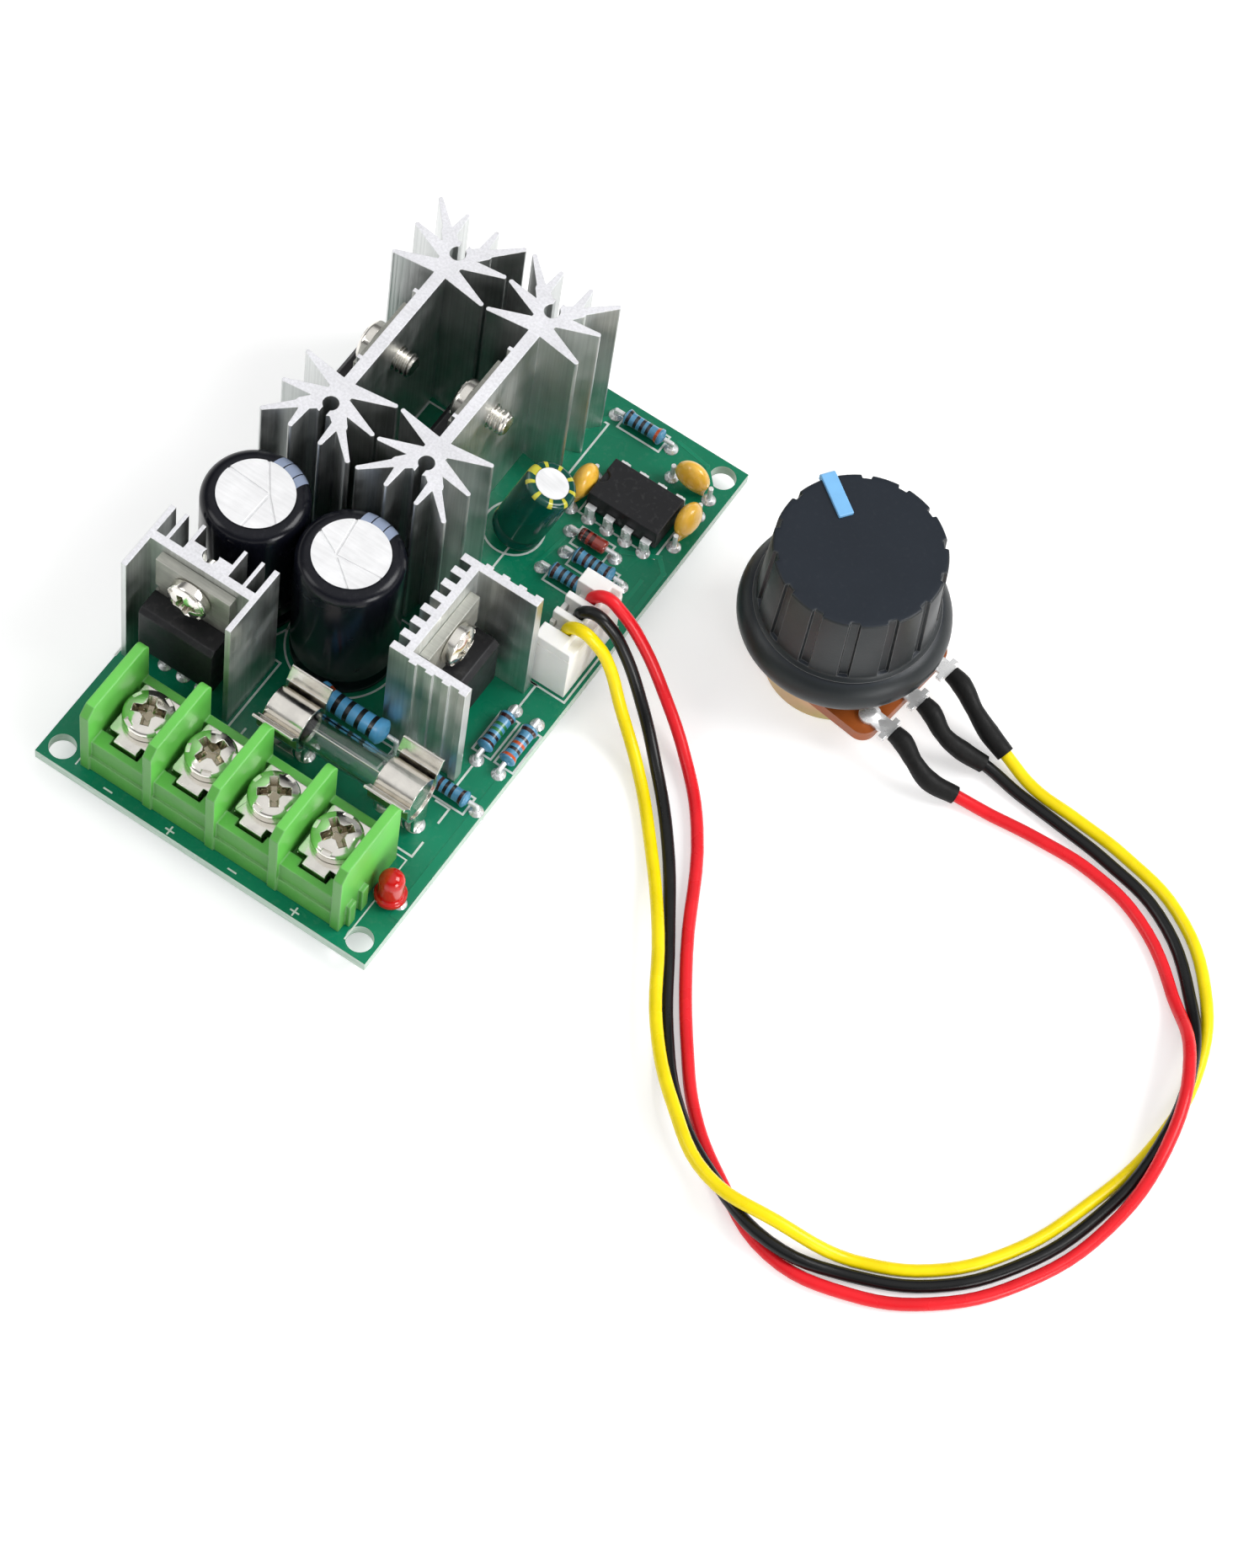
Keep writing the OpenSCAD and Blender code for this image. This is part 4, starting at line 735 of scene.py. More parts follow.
def dress(material, *nodes):
    """Gives CAD nodes their finish, shades round faces smooth, and rounds edges."""
    for node in nodes:
        thing, rounding = NODES[node], ROUNDINGS.get(node, 0.0) * MM
        faces = thing.data.polygons
        thing.data.materials.clear()
        thing.data.materials.append(material)
        faces.foreach_set("material_index", [0] * len(faces))
        faces.foreach_set("use_smooth", [True] * len(faces))
        modify(thing, "Weld", "WELD", merge_threshold=1e-6)
        if rounding:
            flat = {"decimate_type": "DISSOLVE", "angle_limit": math.radians(1)}
            modify(thing, "Whole faces", "DECIMATE", **flat)
            bevel = {"width": rounding, "segments": 3, "limit_method": "ANGLE"}
            modify(thing, "Rounded edges", "BEVEL", angle_limit=SHARP_EDGE, **bevel)
        else:
            split = {"split_angle": SHARP_EDGE, "use_edge_sharp": False}
            modify(thing, "Split sharp edges", "EDGE_SPLIT", **split)
        modify(thing, "Even normals", "WEIGHTED_NORMAL", keep_sharp=True)


# The stage

CAMERA_PLACE = mm(130.4, -229.25, 463.3)
CAMERA_RIGHT = Vector((0.8298, 0.5502, 0.0931))
CAMERA_DOWN = Vector((0.5259, -0.7153, -0.4603))
FOCAL_PIXELS = 5500.0
# What metal mirrors of the world: height from below to above, and brightness
MIRRORED_LEVELS = [(0.0, 0.9), (0.18, 1.0), (0.34, 0.22), (0.60, 0.14), (0.80, 0.78), (1.0, 0.9)]
WORLD_FILL = 0.60
FLOOR_GLOW = 0.42
FLOOR_REACH = 2.0
# The floor lies this far under the lowest piece
FLOOR_GAP = 0.02 * MM
# Soft lamps: name, place and side in metres, power in watts
LAMPS = [
    ("Right panel", (0.55, 0.32, 0.60), 0.45, 4.8),
    ("Front left panel", (-0.50, -0.42, 0.55), 0.36, 1.3),
    ("Low right panel", (0.75, -0.25, 0.20), 0.28, 2.2),
]
LAMP_TARGET = mm(30, 0, 5)


class ControllerStage(bpy.types.Operator):
    """Sets the photograph's camera, the pale floor, the soft lamps and the world"""

    bl_idname = "controller.stage"
    bl_label = "Stage"

    def execute(self, context):
        scene = context.scene
        scene.view_settings.view_transform = "Standard"
        self.place_camera(scene)
        self.lay_floor()
        self.hang_lamps()
        self.light_world(scene)
        return {"FINISHED"}

    def place_camera(self, scene):
        lens = bpy.data.cameras.new("Photo camera")
        lens.sensor_width = 36.0
        lens.lens = FOCAL_PIXELS * lens.sensor_width / max(PHOTO_SIZE)
        lens.clip_start = 0.01
        lens.clip_end = 10.0
        camera = in_scene("Photo camera", lens)
        right = CAMERA_RIGHT.normalized()
        forward = right.cross(CAMERA_DOWN).normalized()
        down = forward.cross(right)
        turn = Matrix((right, -down, -forward)).transposed()
        camera.matrix_world = Matrix.Translation(CAMERA_PLACE) @ turn.to_4x4()
        scene.camera = camera

    def lay_floor(self):
        material = bpy.data.materials.new("Floor paper")
        material.use_nodes = True
        tree = material.node_tree
        tree.nodes.clear()
        diffuse = add(tree, "ShaderNodeBsdfDiffuse", {"Color": opaque(colours().floor)})
        strength = seen_share(tree, FLOOR_GLOW)
        glow = add(tree, "ShaderNodeEmission", {"Color": (1, 1, 1, 1), "Strength": strength})
        both = add(tree, "ShaderNodeAddShader", {0: diffuse.outputs[0], 1: glow.outputs[0]})
        add(tree, "ShaderNodeOutputMaterial", {"Surface": both.outputs[0]})
        shape = bmesh.new()
        place = Matrix.Translation((0.04, 0, FLOOR_Z - FLOOR_GAP))
        bmesh.ops.create_grid(shape, x_segments=1, y_segments=1, size=FLOOR_REACH, matrix=place)
        mesh = mesh_of("floor", shape)
        mesh.materials.append(material)
        in_scene("floor", mesh)

    def hang_lamps(self):
        for name, place, size, power in LAMPS:
            lamp = bpy.data.lights.new(name, "AREA")
            lamp.shape = "SQUARE"
            lamp.size = size
            lamp.energy = power
            holder = in_scene(name, lamp)
            holder.matrix_world = Matrix.Translation(place) @ facing(Vector(place) - LAMP_TARGET)

    def light_world(self, scene):
        """White where it is seen, an even grey for the light, and bands for what metal mirrors."""
        world = bpy.data.worlds.new("Soft studio")
        scene.world = world
        world.use_nodes = True
        tree = world.node_tree
        tree.nodes.clear()
        path = add(tree, "ShaderNodeLightPath").outputs
        seen = maths(tree, "MAXIMUM", path["Is Camera Ray"], path["Is Transmission Ray"])
        height = axis_part(tree, add(tree, "ShaderNodeTexCoord").outputs["Generated"], "Z")
        mirrored = bands(tree, height, [(at, (level,) * 3) for at, level in MIRRORED_LEVELS], "LINEAR")
        fill = mixed(tree, seen, (WORLD_FILL,) * 3, (1.0, 1.0, 1.0))
        fill = mixed(tree, path["Is Glossy Ray"], fill, mirrored)
        background = add(tree, "ShaderNodeBackground", {"Color": fill, "Strength": 1.0})
        add(tree, "ShaderNodeOutputWorld", {"Surface": background.outputs[0]})


def seen_share(tree, strength):
    """Strength for camera, glossy and transmitted rays, and none for the rest."""
    path = add(tree, "ShaderNodeLightPath").outputs
    seen = maths(tree, "MAXIMUM", path["Is Camera Ray"], path["Is Glossy Ray"])
    return times(tree, maths(tree, "MAXIMUM", seen, path["Is Transmission Ray"]), strength)


# Wires, with the route that the CAD source gives, in millimetres

WIRE_ROUTES = {
    "yellow": [
        (19.07, 4.5, 9.7), (19.5, 4.5, 11.4), (21.0, 4.5, 12.3), (22.7, 4.7, 11.2), (24.5, 5, 8.4),
        (28, 3.5, 3), (33, 0, -0.5), (39, -6.5, -1), (46.5, -16.5, 0.6), (52.5, -26, 0.6),
        (59.5, -33.5, 2), (67, -38.4, 2.4), (76, -38.4, 2.2), (85, -36, -1.2), (92.5, -32, -1.2),
        (98.5, -25, -1.2), (102.5, -15.5, -1.2), (105, -4.5, -1.2), (104.2, 6.5, -1.2),
        (100, 15, -1.2), (92.5, 21.5, -1.2), (84, 24, -1.2), (77, 24.8, -1.2), (71, 25.2, -1),
        (66.2, 26.6, -0.2), (63.3, 27.3, 0.8),
    ],
    "black": [
        (19.07, 7, 9.7), (19.5, 7, 11.4), (21.0, 7.2, 12.3), (22.8, 7.4, 11.2), (25.0, 7.4, 8.4),
        (29.5, 5.5, 3), (34.5, 1.5, -0.5), (41, -5.8, -1.2), (47.5, -15.5, -1.2), (53.5, -25, -1.2),
        (60, -32.8, 0.2), (67, -37.2, 0.5), (76.5, -40.2, 0.5), (85.5, -37.7, -1.2),
        (93.5, -33.5, -1.2), (100, -26, -1.2), (104.2, -16, -0.9), (105.6, -5.5, 0.6),
        (103.5, 5.5, 0.6), (98.8, 13.4, -1.2), (91, 19.9, -1.2), (82.5, 22.2, -1.2), (76, 23, -1.2),
        (70, 23.6, -1.2), (64.8, 24.1, -0.4), (62, 23.5, 0.7),
    ],
    "red": [
        (19.07, 9.5, 9.7), (19.5, 9.5, 11.4), (21.0, 9.7, 12.4), (23.0, 9.7, 11.4), (26.0, 9.5, 8.5),
        (31, 8, 3), (36.5, 4.5, -0.5), (42.5, -2, -1.2), (50.2, -16, -1.2), (56.5, -25.5, -1.2),
        (61.5, -31.6, -1.2), (67.5, -36.2, -1.2), (77, -40.8, -1.2), (86.5, -39.6, -1.2),
        (94.5, -35.3, -1.2), (101.4, -27.4, -1.2), (105.8, -16.8, -0.6), (106.4, -6, 2.3),
        (103, 5, 2.3), (97.5, 12, -1.2), (89.5, 18, -1.2), (82, 20, -1.2), (75, 20, -1.2),
        (69, 19.4, -1.2), (64.2, 18.7, -0.4), (61, 17.9, 0.7),
    ],
}
SLEEVE_ROUTES = {
    "yellow": [
        (56.17, 29.72, 3.61), (57.8, 29.4, 3.3), (60.7, 28.1, 2.1), (63.3, 27.3, 0.8),
        (66.2, 26.6, -0.2),
    ],
    "black": [
        (55.53, 24.46, 3.61), (56.9, 24.2, 3.3), (59.4, 23.2, 2.2), (62, 23.5, 0.7),
        (64.8, 24.1, -0.4),
    ],
    "red": [
        (54.88, 19.2, 3.61), (56.3, 19, 3.3), (58.5, 18.2, 2.2), (61, 17.9, 0.7),
        (64.2, 18.7, -0.4),
    ],
}
# Share of a sleeve's usual width at each of its points
SLEEVE_SWELL = [0.86, 1.0, 0.82, 1.0, 0.9]
CURVE_STEPS = 6


def curve_piece(name, points, width, material, swell=None):
    """One open Bezier spline through the points, as a round tube that stays above the floor."""
    data = bpy.data.curves.new(name, "CURVE")
    data.dimensions = "3D"
    data.resolution_u = CURVE_STEPS
    data.render_resolution_u = CURVE_STEPS
    data.bevel_depth = width / 2
    data.bevel_resolution = 4
    data.use_fill_caps = True
    spline = data.splines.new("BEZIER")
    spline.bezier_points.add(len(points) - 1)
    for index, (knot, point) in enumerate(zip(spline.bezier_points, points)):
        knot.co = mm(*point)
        knot.handle_left_type = knot.handle_right_type = "AUTO"
        knot.radius = swell[index] if swell else 1.0
    data.materials.append(material)
    piece = in_scene(name, data)
    bpy.context.view_layer.update()
    for knot in spline.bezier_points:
        ends = Vector(knot.handle_left), Vector(knot.handle_right)
        knot.handle_left_type = knot.handle_right_type = "FREE"
        for end in ends:
            end.z = max(end.z, min(knot.co.z, FLOOR_Z + width / 2 + FLOOR_GAP))
        knot.handle_left, knot.handle_right = ends
    return piece, spline


class ControllerWires(bpy.types.Operator):
    """Lays the three wires and the shrink sleeves over their ends"""

    bl_idname = "controller.wires"
    bl_label = "Wires"

    def execute(self, context):
        shrink = finish("Shrink sleeve", colours().shrink)
        for name, route in WIRE_ROUTES.items():
            shade = getattr(colours(), name)
            insulation = finish(name.capitalize() + " insulation", shade, like="Insulation")
            wire, line = curve_piece("lead_" + name, route, sizes().wire, insulation)
            sleeve_route = SLEEVE_ROUTES[name]
            sleeve, _ = curve_piece("shrink_" + name, sleeve_route, sizes().shrink, shrink, SLEEVE_SWELL)
            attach(wire, ROOT)
            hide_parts("wire_" + name)
            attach(sleeve, ROOT)
            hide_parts("wire_sleeves")
        return {"FINISHED"}


# The board

# Printed frames: the part inside, its margin in millimetres, and the sides left out
SILK_FRAMES = [
    ("chip", 0.5, ()), ("header", 0.45, ()), ("sink_left", 0.45, ("front",)),
    ("sink_right", 0.5, ()), ("power_resistor", 0.35, ()), ("diode", 0.45, ()),
]
# Printed lines between the star sinks, and brackets at the fuse's corners
SILK_LINES = [
    ((0.206, 0.742), (0.206, 0.819)), ((0.206, 0.819), (0.400, 0.819)),
    ((0.875, 0.178), (0.925, 0.178)), ((0.925, 0.178), (0.925, 0.205)),
    ((0.885, 0.272), (0.925, 0.272)), ((0.925, 0.245), (0.925, 0.272)),
    ((0.435, 0.178), (0.385, 0.178)), ((0.385, 0.178), (0.385, 0.205)),
]
# Pitch of the terminal's poles, place of the first polarity mark and half its size
POLE_PITCH = 8.5 * MM
FIRST_MARK = Vector((4.4, 0.72, 0)) * MM
MARK_HALF = 0.5 * MM
# Printed rings: gap round a large can, and middle and radius at the small one
CAN_RING_GAP = 0.35 * MM
SMALL_CAN_RING = (share(0.598, 0.713), 3.5 * MM)
# Margins of the star sinks' frame at its low and high sides, and place of the line between
# them: from the left sink's middle, and in from the sinks' ends
STAR_LOW_MARGIN, STAR_HIGH_MARGIN = 0.3 * MM, 0.4 * MM
STAR_LINE_SHIFT, STAR_LINE_INSET = 4 * MM, 8 * MM
# Margins of the terminal's frame, and widths of its lines and of the marks as shares of a line's
TERMINAL_MARGIN, TERMINAL_FRONT_MARGIN = 0.45 * MM, 0.2 * MM
TERMINAL_LINE, MARK_LINE = 0.7, 0.8
# Half the length and width of a small resistor's printed frame
RESISTOR_REACH = Vector((2.9, 1.25, 0)) * MM
RESISTOR_SHARES = [
    (0.707, 0.968, False), (0.831, 0.724, False), (0.807, 0.682, False),
    (0.896, 0.292, False), (0.902, 0.410, True), (0.969, 0.410, True),
]
RESISTOR_PLACES = [(share(across, along), turned) for across, along, turned in RESISTOR_SHARES]
# Copper tracks: corners as shares of the board, and width in millimetres
TOP_TRACKS = [
    ([(0.985, 0.09), (0.985, 0.36)], 1.1),
    ([(0.79, 0.80), (0.79, 0.775), (0.72, 0.75), (0.70, 0.67)], 0.5),
    ([(0.86, 0.775), (0.95, 0.80), (0.985, 0.78), (0.985, 0.62)], 0.6),
    ([(0.90, 0.66), (0.95, 0.69), (0.95, 0.75)], 0.5),
    ([(0.62, 0.965), (0.58, 0.93), (0.58, 0.80)], 0.6),
    ([(0.94, 0.95), (0.90, 0.975), (0.80, 0.985)], 0.5),
    ([(0.63, 0.40), (0.68, 0.36), (0.86, 0.355)], 0.7),
    ([(0.83, 0.25), (0.80, 0.20), (0.80, 0.17)], 0.6),
    ([(0.06, 0.20), (0.04, 0.24), (0.04, 0.50), (0.08, 0.56)], 1.2),
    ([(0.06, 0.62), (0.04, 0.66), (0.04, 0.93), (0.10, 0.97)], 1.2),
]
UNDER_TRACKS = [
    ([(0.22, 0.10), (0.22, 0.22), (0.16, 0.30), (0.16, 0.36)], 3.6),
    ([(0.41, 0.10), (0.41, 0.24), (0.30, 0.30), (0.24, 0.44)], 3.6),
    ([(0.60, 0.10), (0.60, 0.18), (0.47, 0.26), (0.47, 0.40), (0.42, 0.52)], 3.6),
    ([(0.79, 0.10), (0.86, 0.20)], 3.6),
    ([(0.42, 0.20), (0.42, 0.44)], 1.2),
    ([(0.16, 0.44), (0.16, 0.62), (0.22, 0.76)], 4.2),
    ([(0.45, 0.46), (0.47, 0.60), (0.47, 0.78)], 4.2),
    ([(0.90, 0.55), (0.80, 0.50), (0.72, 0.44)], 1.0),
    ([(0.90, 0.59), (0.84, 0.62), (0.82, 0.68)], 0.8),
    ([(0.90, 0.62), (0.95, 0.66), (0.95, 0.84)], 0.8),
    ([(0.74, 0.80), (0.70, 0.74), (0.66, 0.71)], 0.8),
    ([(0.80, 0.89), (0.72, 0.94), (0.62, 0.97)], 0.8),
    ([(0.90, 0.40), (0.90, 0.33), (0.83, 0.29)], 0.8),
]


class ControllerBoard(bpy.types.Operator):
    """Finishes the board and prints its outlines, raised copper and solder"""

    bl_idname = "controller.board"
    bl_label = "Board"

    def execute(self, context):
        dress(finish("Solder mask", self.paint_board), "board")
        dress(finish("Solder", colours().tin), "solder_joints", "sink_pins")
        lead = finish("Tinned lead", colours().tin)
        dress(lead, "component_leads", "chip_pins", "transistor_leads")
        self.print_silk()
        self.raise_copper()
        return {"FINISHED"}

    def paint_board(self, tree):
        """Lacquer on the faces, pale laminate with its layers on the cut edges and holes."""
        up = absolute(tree, normal_part(tree, "Z"))
        fibres = effect(tree, "Drawn lines", Stretch=(300.0, 300.0, 9000.0)).outputs["Mask"]
        edge = mixed(tree, times(tree, fibres, 0.35), colours().laminate, colours().mask)
        cloud = spread(tree, noise(tree, 55.0, 3.0), 0.35, 0.65)
        face = mixed(tree, cloud, colours().mask, lifted(colours().mask, 1.3, 0.003))
        return mixed(tree, spread(tree, up, 0.6, 0.8), edge, face)

    def print_silk(self):
        """Outlines round the parts, and plain polarity marks by the terminals."""
        width, height = sizes().silk_width, sizes().silk_height
        shape = bmesh.new()
        for node, margin, gaps in SILK_FRAMES:
            low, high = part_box(node)
            edge = margin * MM
            start, end = on_board(low.x - edge, low.y - edge), on_board(high.x + edge, high.y + edge)
            add_frame(shape, start, end, width, height, gaps)
        self.frame_star_sinks(shape, width, height)
        for centre in CAN_CENTRES:
            add_ring(shape, centre, CAN_RADIUS + CAN_RING_GAP, width, height)
        add_ring(shape, *SMALL_CAN_RING, width, height)
        for centre, turned in RESISTOR_PLACES:
            reach = Vector((RESISTOR_REACH.y, RESISTOR_REACH.x, 0)) if turned else RESISTOR_REACH
            add_frame(shape, centre - reach, centre + reach, width, height)
        self.mark_terminal(shape, width, height)
        for start, end in SILK_LINES:
            add_bar(shape, share(*start), share(*end), width, height)
        piece_from("silk_print", shape, finish("Silk print", colours().silk))

    def frame_star_sinks(self, shape, width, height):
        """One frame round both star sinks, and a line between them."""
        left_low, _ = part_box("star_sink_left")
        low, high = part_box("star_sink_right")
        start = on_board(left_low.x - STAR_LOW_MARGIN, low.y - STAR_LOW_MARGIN)
        end = on_board(high.x + STAR_HIGH_MARGIN, high.y + STAR_HIGH_MARGIN)
        add_frame(shape, start, end, width, height)
        between = middle("star_sink_left").x + STAR_LINE_SHIFT
        ends = [on_board(between, y) for y in (low.y + STAR_LINE_INSET, high.y - STAR_LINE_INSET)]
        add_bar(shape, *ends, width, height)

    def mark_terminal(self, shape, width, height):
        """A frame behind the terminal, and a minus or a plus before each pole."""
        low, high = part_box("terminal_body")
        start = on_board(low.x - TERMINAL_MARGIN, low.y - TERMINAL_FRONT_MARGIN)
        end = on_board(high.x + TERMINAL_MARGIN, high.y + TERMINAL_MARGIN)
        add_frame(shape, start, end, width * TERMINAL_LINE, height, ("front",))
        across, along = Vector((MARK_HALF, 0, 0)), Vector((0, MARK_HALF, 0))
        for index, strokes in enumerate(([across], [across, along], [across], [across, along])):
            spot = on_board(low.x + FIRST_MARK.x + POLE_PITCH * index, BOARD_LOW.y + FIRST_MARK.y)
            for half in strokes:
                add_bar(shape, spot - half, spot + half, width * MARK_LINE, height)

    def raise_copper(self):
        """Tracks that stand up a little under the lacquer, on both faces."""
        height = sizes().trace_height
        under = Vector((0, 0, BOARD_LOW.z - BOARD_TOP - height))
        faces = ((TOP_TRACKS, mm(0, 0, 0), height * 0.5), (UNDER_TRACKS, under, height))
        shape = bmesh.new()
        for tracks, shift, tall in faces:
            for points, width in tracks:
                corners = [share(*point) + shift for point in points]
                for start, end in zip(corners, corners[1:]):
                    add_bar(shape, start, end, width * MM, tall)
        track = finish("Lacquered track", lifted(colours().mask, 1.35, 0.004))
        piece_from("copper_tracks", shape, track)


# Screws

SHANK_RADIUS = 1.5 * MM
# Share of a shank's radius that its thread leaves
THREAD_CORE = 0.82
THREAD_TURNS = 2.9
THREAD_STEPS = 48
# Cuts in a screw's head, as shares of its radius: turn, middle, size, width of the foot, and
# the height of the floor as a share of the head's
SCREW_CUTS = [
    (0, 0.0, (1.46, 0.38), 0.58, 0.34),
    (90, 0.0, (1.46, 0.38), 0.58, 0.34),
    (45, 0.0, (0.74, 0.74), 0.50, 0.30),
    (45, 0.98, (0.44, 0.42), 0.90, 0.66),
    (135, 0.98, (0.44, 0.42), 0.90, 0.66),
    (225, 0.98, (0.44, 0.42), 0.90, 0.66),
    (315, 0.98, (0.44, 0.42), 0.90, 0.66),
]


def pan_screw(head, tall, reach, threaded=0.0):
    """A pan head seated at zero, with a cross recess and a notched rim, on a shank."""
    wall, turn_in, tip, edge, above = tall * 0.5, head * 0.2, 0.1 * MM, 0.12 * MM, 0.3 * MM
    core = SHANK_RADIUS * THREAD_CORE if threaded else SHANK_RADIUS
    profile = [(0, -reach), (core - tip, -reach), (core, tip - reach)]
    profile += [(core, threaded - reach), (SHANK_RADIUS, threaded - reach)] if threaded else []
    profile += [(SHANK_RADIUS, 0), (head - edge, 0), (head, edge)]
    profile += arc((head - turn_in, wall), turn_in, 0, 75, 7)
    profile += [(head * 0.62, tall * 0.93), (head * 0.3, tall * 0.99), (0, tall)]
    shape = spun(profile, steps=64)
    for turn, centre, size, foot, floor in SCREW_CUTS:
        cutter = bmesh.new()
        bmesh.ops.create_cube(cutter, size=1.0)
        for vert in cutter.verts:
            part = foot if vert.co.z < 0 else 1.0
            vert.co.x = (centre + vert.co.x * size[0] * part) * head
            vert.co.y *= size[1] * part * head
            vert.co.z = tall + above if vert.co.z > 0 else tall * floor
        shape = carved(shape, moved(cutter, rotation(turn)))
    # Marks the recess, where the screw plate paints shade
    deep = shape.verts.layers.float.new("deep")
    for vert in shape.verts:
        inner = math.hypot(vert.co.x, vert.co.y) < head * 0.76
        vert[deep] = 1.0 if inner and tip < vert.co.z < tall * 0.72 else 0.0
    return shape


def thread_ridge(pitch):
    """The thread that stands round a shank's tip, up from zero."""
    root, crest = SHANK_RADIUS * THREAD_CORE - 0.04 * MM, SHANK_RADIUS - 0.02 * MM
    foot, top = pitch * 0.42, pitch * 0.08
    profile = [(root, -foot), (crest, -top), (crest, top), (root, foot)]
    steps = int(THREAD_TURNS * THREAD_STEPS)
    ridge = swept(profile, THREAD_TURNS * FULL_TURN, steps, rise=pitch / THREAD_STEPS)
    bmesh.ops.holes_fill(ridge, edges=ridge.edges, sides=0)
    return ridge


# Screw terminal and fuse

TERMINAL_TURNS = [20, 68, 35, 52]
# A screw's head stands this far over its clamp
SEAT_GAP = 0.02 * MM
# Painted shade: the moulding is painted darkest under the first height, and keeps its bright green over
# the second
SHADED_BELOW, UNSHADED_ABOVE = 5.0 * MM, 9.5 * MM


class ControllerTerminal(bpy.types.Operator):
    """Finishes the screw terminal, its clamps and its screws"""

    bl_idname = "controller.terminal"
    bl_label = "Screw terminal"

    def execute(self, context):
        dress(finish("Terminal moulding", self.paint_shaded_moulding), "terminal_body")
        dress(nickel(), "terminal_bases")
        for index, turn in enumerate(TERMINAL_TURNS, 1):
            dress(nickel(), "terminal_clamp_%d" % index)
            self.turn_screw(index, turn)
        return {"FINISHED"}

    def turn_screw(self, index, turn):
        """One terminal screw, over its clamp."""
        node = "terminal_screw_%d" % index
        low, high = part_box(node)
        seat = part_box("terminal_clamp_%d" % index)[1].z + SEAT_GAP
        shape = pan_screw((high.x - low.x) / 2, high.z - seat, seat - low.z)
        moved(shape, Matrix.Translation((middle(node).x, middle(node).y, seat)) @ rotation(turn))
        name, body = "terminal_head_%d" % index, "screw_%d" % index
        piece_from(name, shape, screw_plate(), body, [node], sharp=28)

    def paint_shaded_moulding(self, tree):
        """Bright thin fins that let light through, over a body with painted shade: its low part and the
        faces that look forward are painted darker green.
        """
        height = axis_part(tree, object_point(tree), "Z")
        front = times(tree, normal_part(tree, "Y"), -1.0)
        # Painted shade, darkest low down and on faces that look forward, at 0.23 of the base green
        low = spread(tree, height, SHADED_BELOW, UNSHADED_ABOVE, 0.55, 0.0)
        deep = maths(tree, "MAXIMUM", low, spread(tree, front, 0.4, 0.9, 0.0, 0.6))
        base = tuple(colours().terminal)
        return mixed(tree, deep, base, tuple(part * 0.23 for part in base))


class ControllerFuse(bpy.types.Operator):
    """Finishes the fuse and its clips"""

    bl_idname = "controller.fuse"
    bl_label = "Fuse"

    def execute(self, context):
        dress(nickel(), "fuse_clips", "fuse_caps", "fuse_wire")
        dress(finish("Fuse glass", (0.93, 0.97, 0.96)), "fuse_glass")
        return {"FINISHED"}


# Heat sinks and transistors

# Head radius, head height and threaded length of the sinks' screws
SINK_SCREW = (2.6 * MM, 1.83 * MM, 2.15 * MM)
# Their seats in millimetres, the way they face, shank lengths and turns
SINK_SCREWS = [
    ((-14.715, -20.494, 18.2), (0, -1, 0), 4.64, 20),
    ((11.155, -7.098, 16.2), (1, 0, 0), 4.54, 68),
    ((-16.19, 16.995, 21.1), (-1, 0, 0), 5.04, 35),
    ((-3.29, 16.995, 21.1), (-1, 0, 0), 5.04, 52),
]
# Where a tip leaves a star sink: from the sink's middle, and above the board
TIP_SHIFT, TIP_HEIGHT = 1.0 * MM, 19.5 * MM


class ControllerSinks(bpy.types.Operator):
    """Finishes the heat sinks, transistors and their screws"""

    bl_idname = "controller.sinks"
    bl_label = "Heat sinks"

    def execute(self, context):
        aluminium = finish("Extruded aluminium", self.paint_sink, metallic=self.bare_walls)
        dress(aluminium, "star_sink_left", "star_sink_right", "sink_left", "sink_right")
        dress(finish("Tinned tab", colours().tab), "transistor_tabs")
        dress(finish("Transistor case", colours().case), "transistor_cases", "chip")
        head, tall, threaded = SINK_SCREW
        for index, (seat, way, reach, turn) in enumerate(SINK_SCREWS, 1):
            shape = pan_screw(head, tall, reach * MM, threaded)
            moved(shape, Matrix.Translation(mm(*seat)) @ facing(way) @ rotation(turn))
            gone = ["transistor_screws"] if index == 1 else ()
            name = "sink_screw_%d" % index
            piece_from(name, shape, screw_plate(), replaced=gone, sharp=28)
        self.cut_threads()
        return {"FINISHED"}

    def bare_walls(self, tree):
        """Walls mirror what stands round them; the sawn ends are rough and pale."""
        return spread(tree, absolute(tree, normal_part(tree, "Z")), 0.7, 0.9, 1.0, 0.15)

    def paint_sink(self, tree):
        """Bright sawn ends with slanted saw marks, darker drawn walls."""
        up = absolute(tree, normal_part(tree, "Z"))
        saw = effect(tree, "Drawn lines", Stretch=(500.0, 6000.0, 500.0), Turn=(0.0, 0.0, 0.5))
        marks = times(tree, saw.outputs["Mask"], 0.3)
        end = mixed(tree, marks, colours().cut, colours().aluminium)
        return mixed(tree, spread(tree, up, 0.7, 0.9), colours().aluminium, end)

    def cut_threads(self):
        """Threads round the screw tips that stand out behind the star sinks."""
        shape = bmesh.new()
        along = middle("star_sink_left").y
        for node in ("star_sink_left", "star_sink_right"):
            tip = Vector((middle(node).x + TIP_SHIFT, along, BOARD_TOP + TIP_HEIGHT))
            ridge = thread_ridge(sizes().thread_pitch)
            copy_into(shape, moved(ridge, Matrix.Translation(tip) @ facing((1, 0, 0))))
        steel = finish("Thread steel", colours().nickel)
        piece_from("screw_threads", shape, steel, sharp=30)


# Capacitors

# Score lines of the can ends: where they meet in millimetres from the middle, and their turns
CAN_SCORES = [((1.29, 0.75), (177, 126, -92, -45)), ((-1.33, -1.17), (98, 153, 5, -38))]
CAN_STRIPE_TURNS = (72.0, 85.0)
# Share of the radius that the film leaves bare at a can's end
FILM_HOLE = 0.715
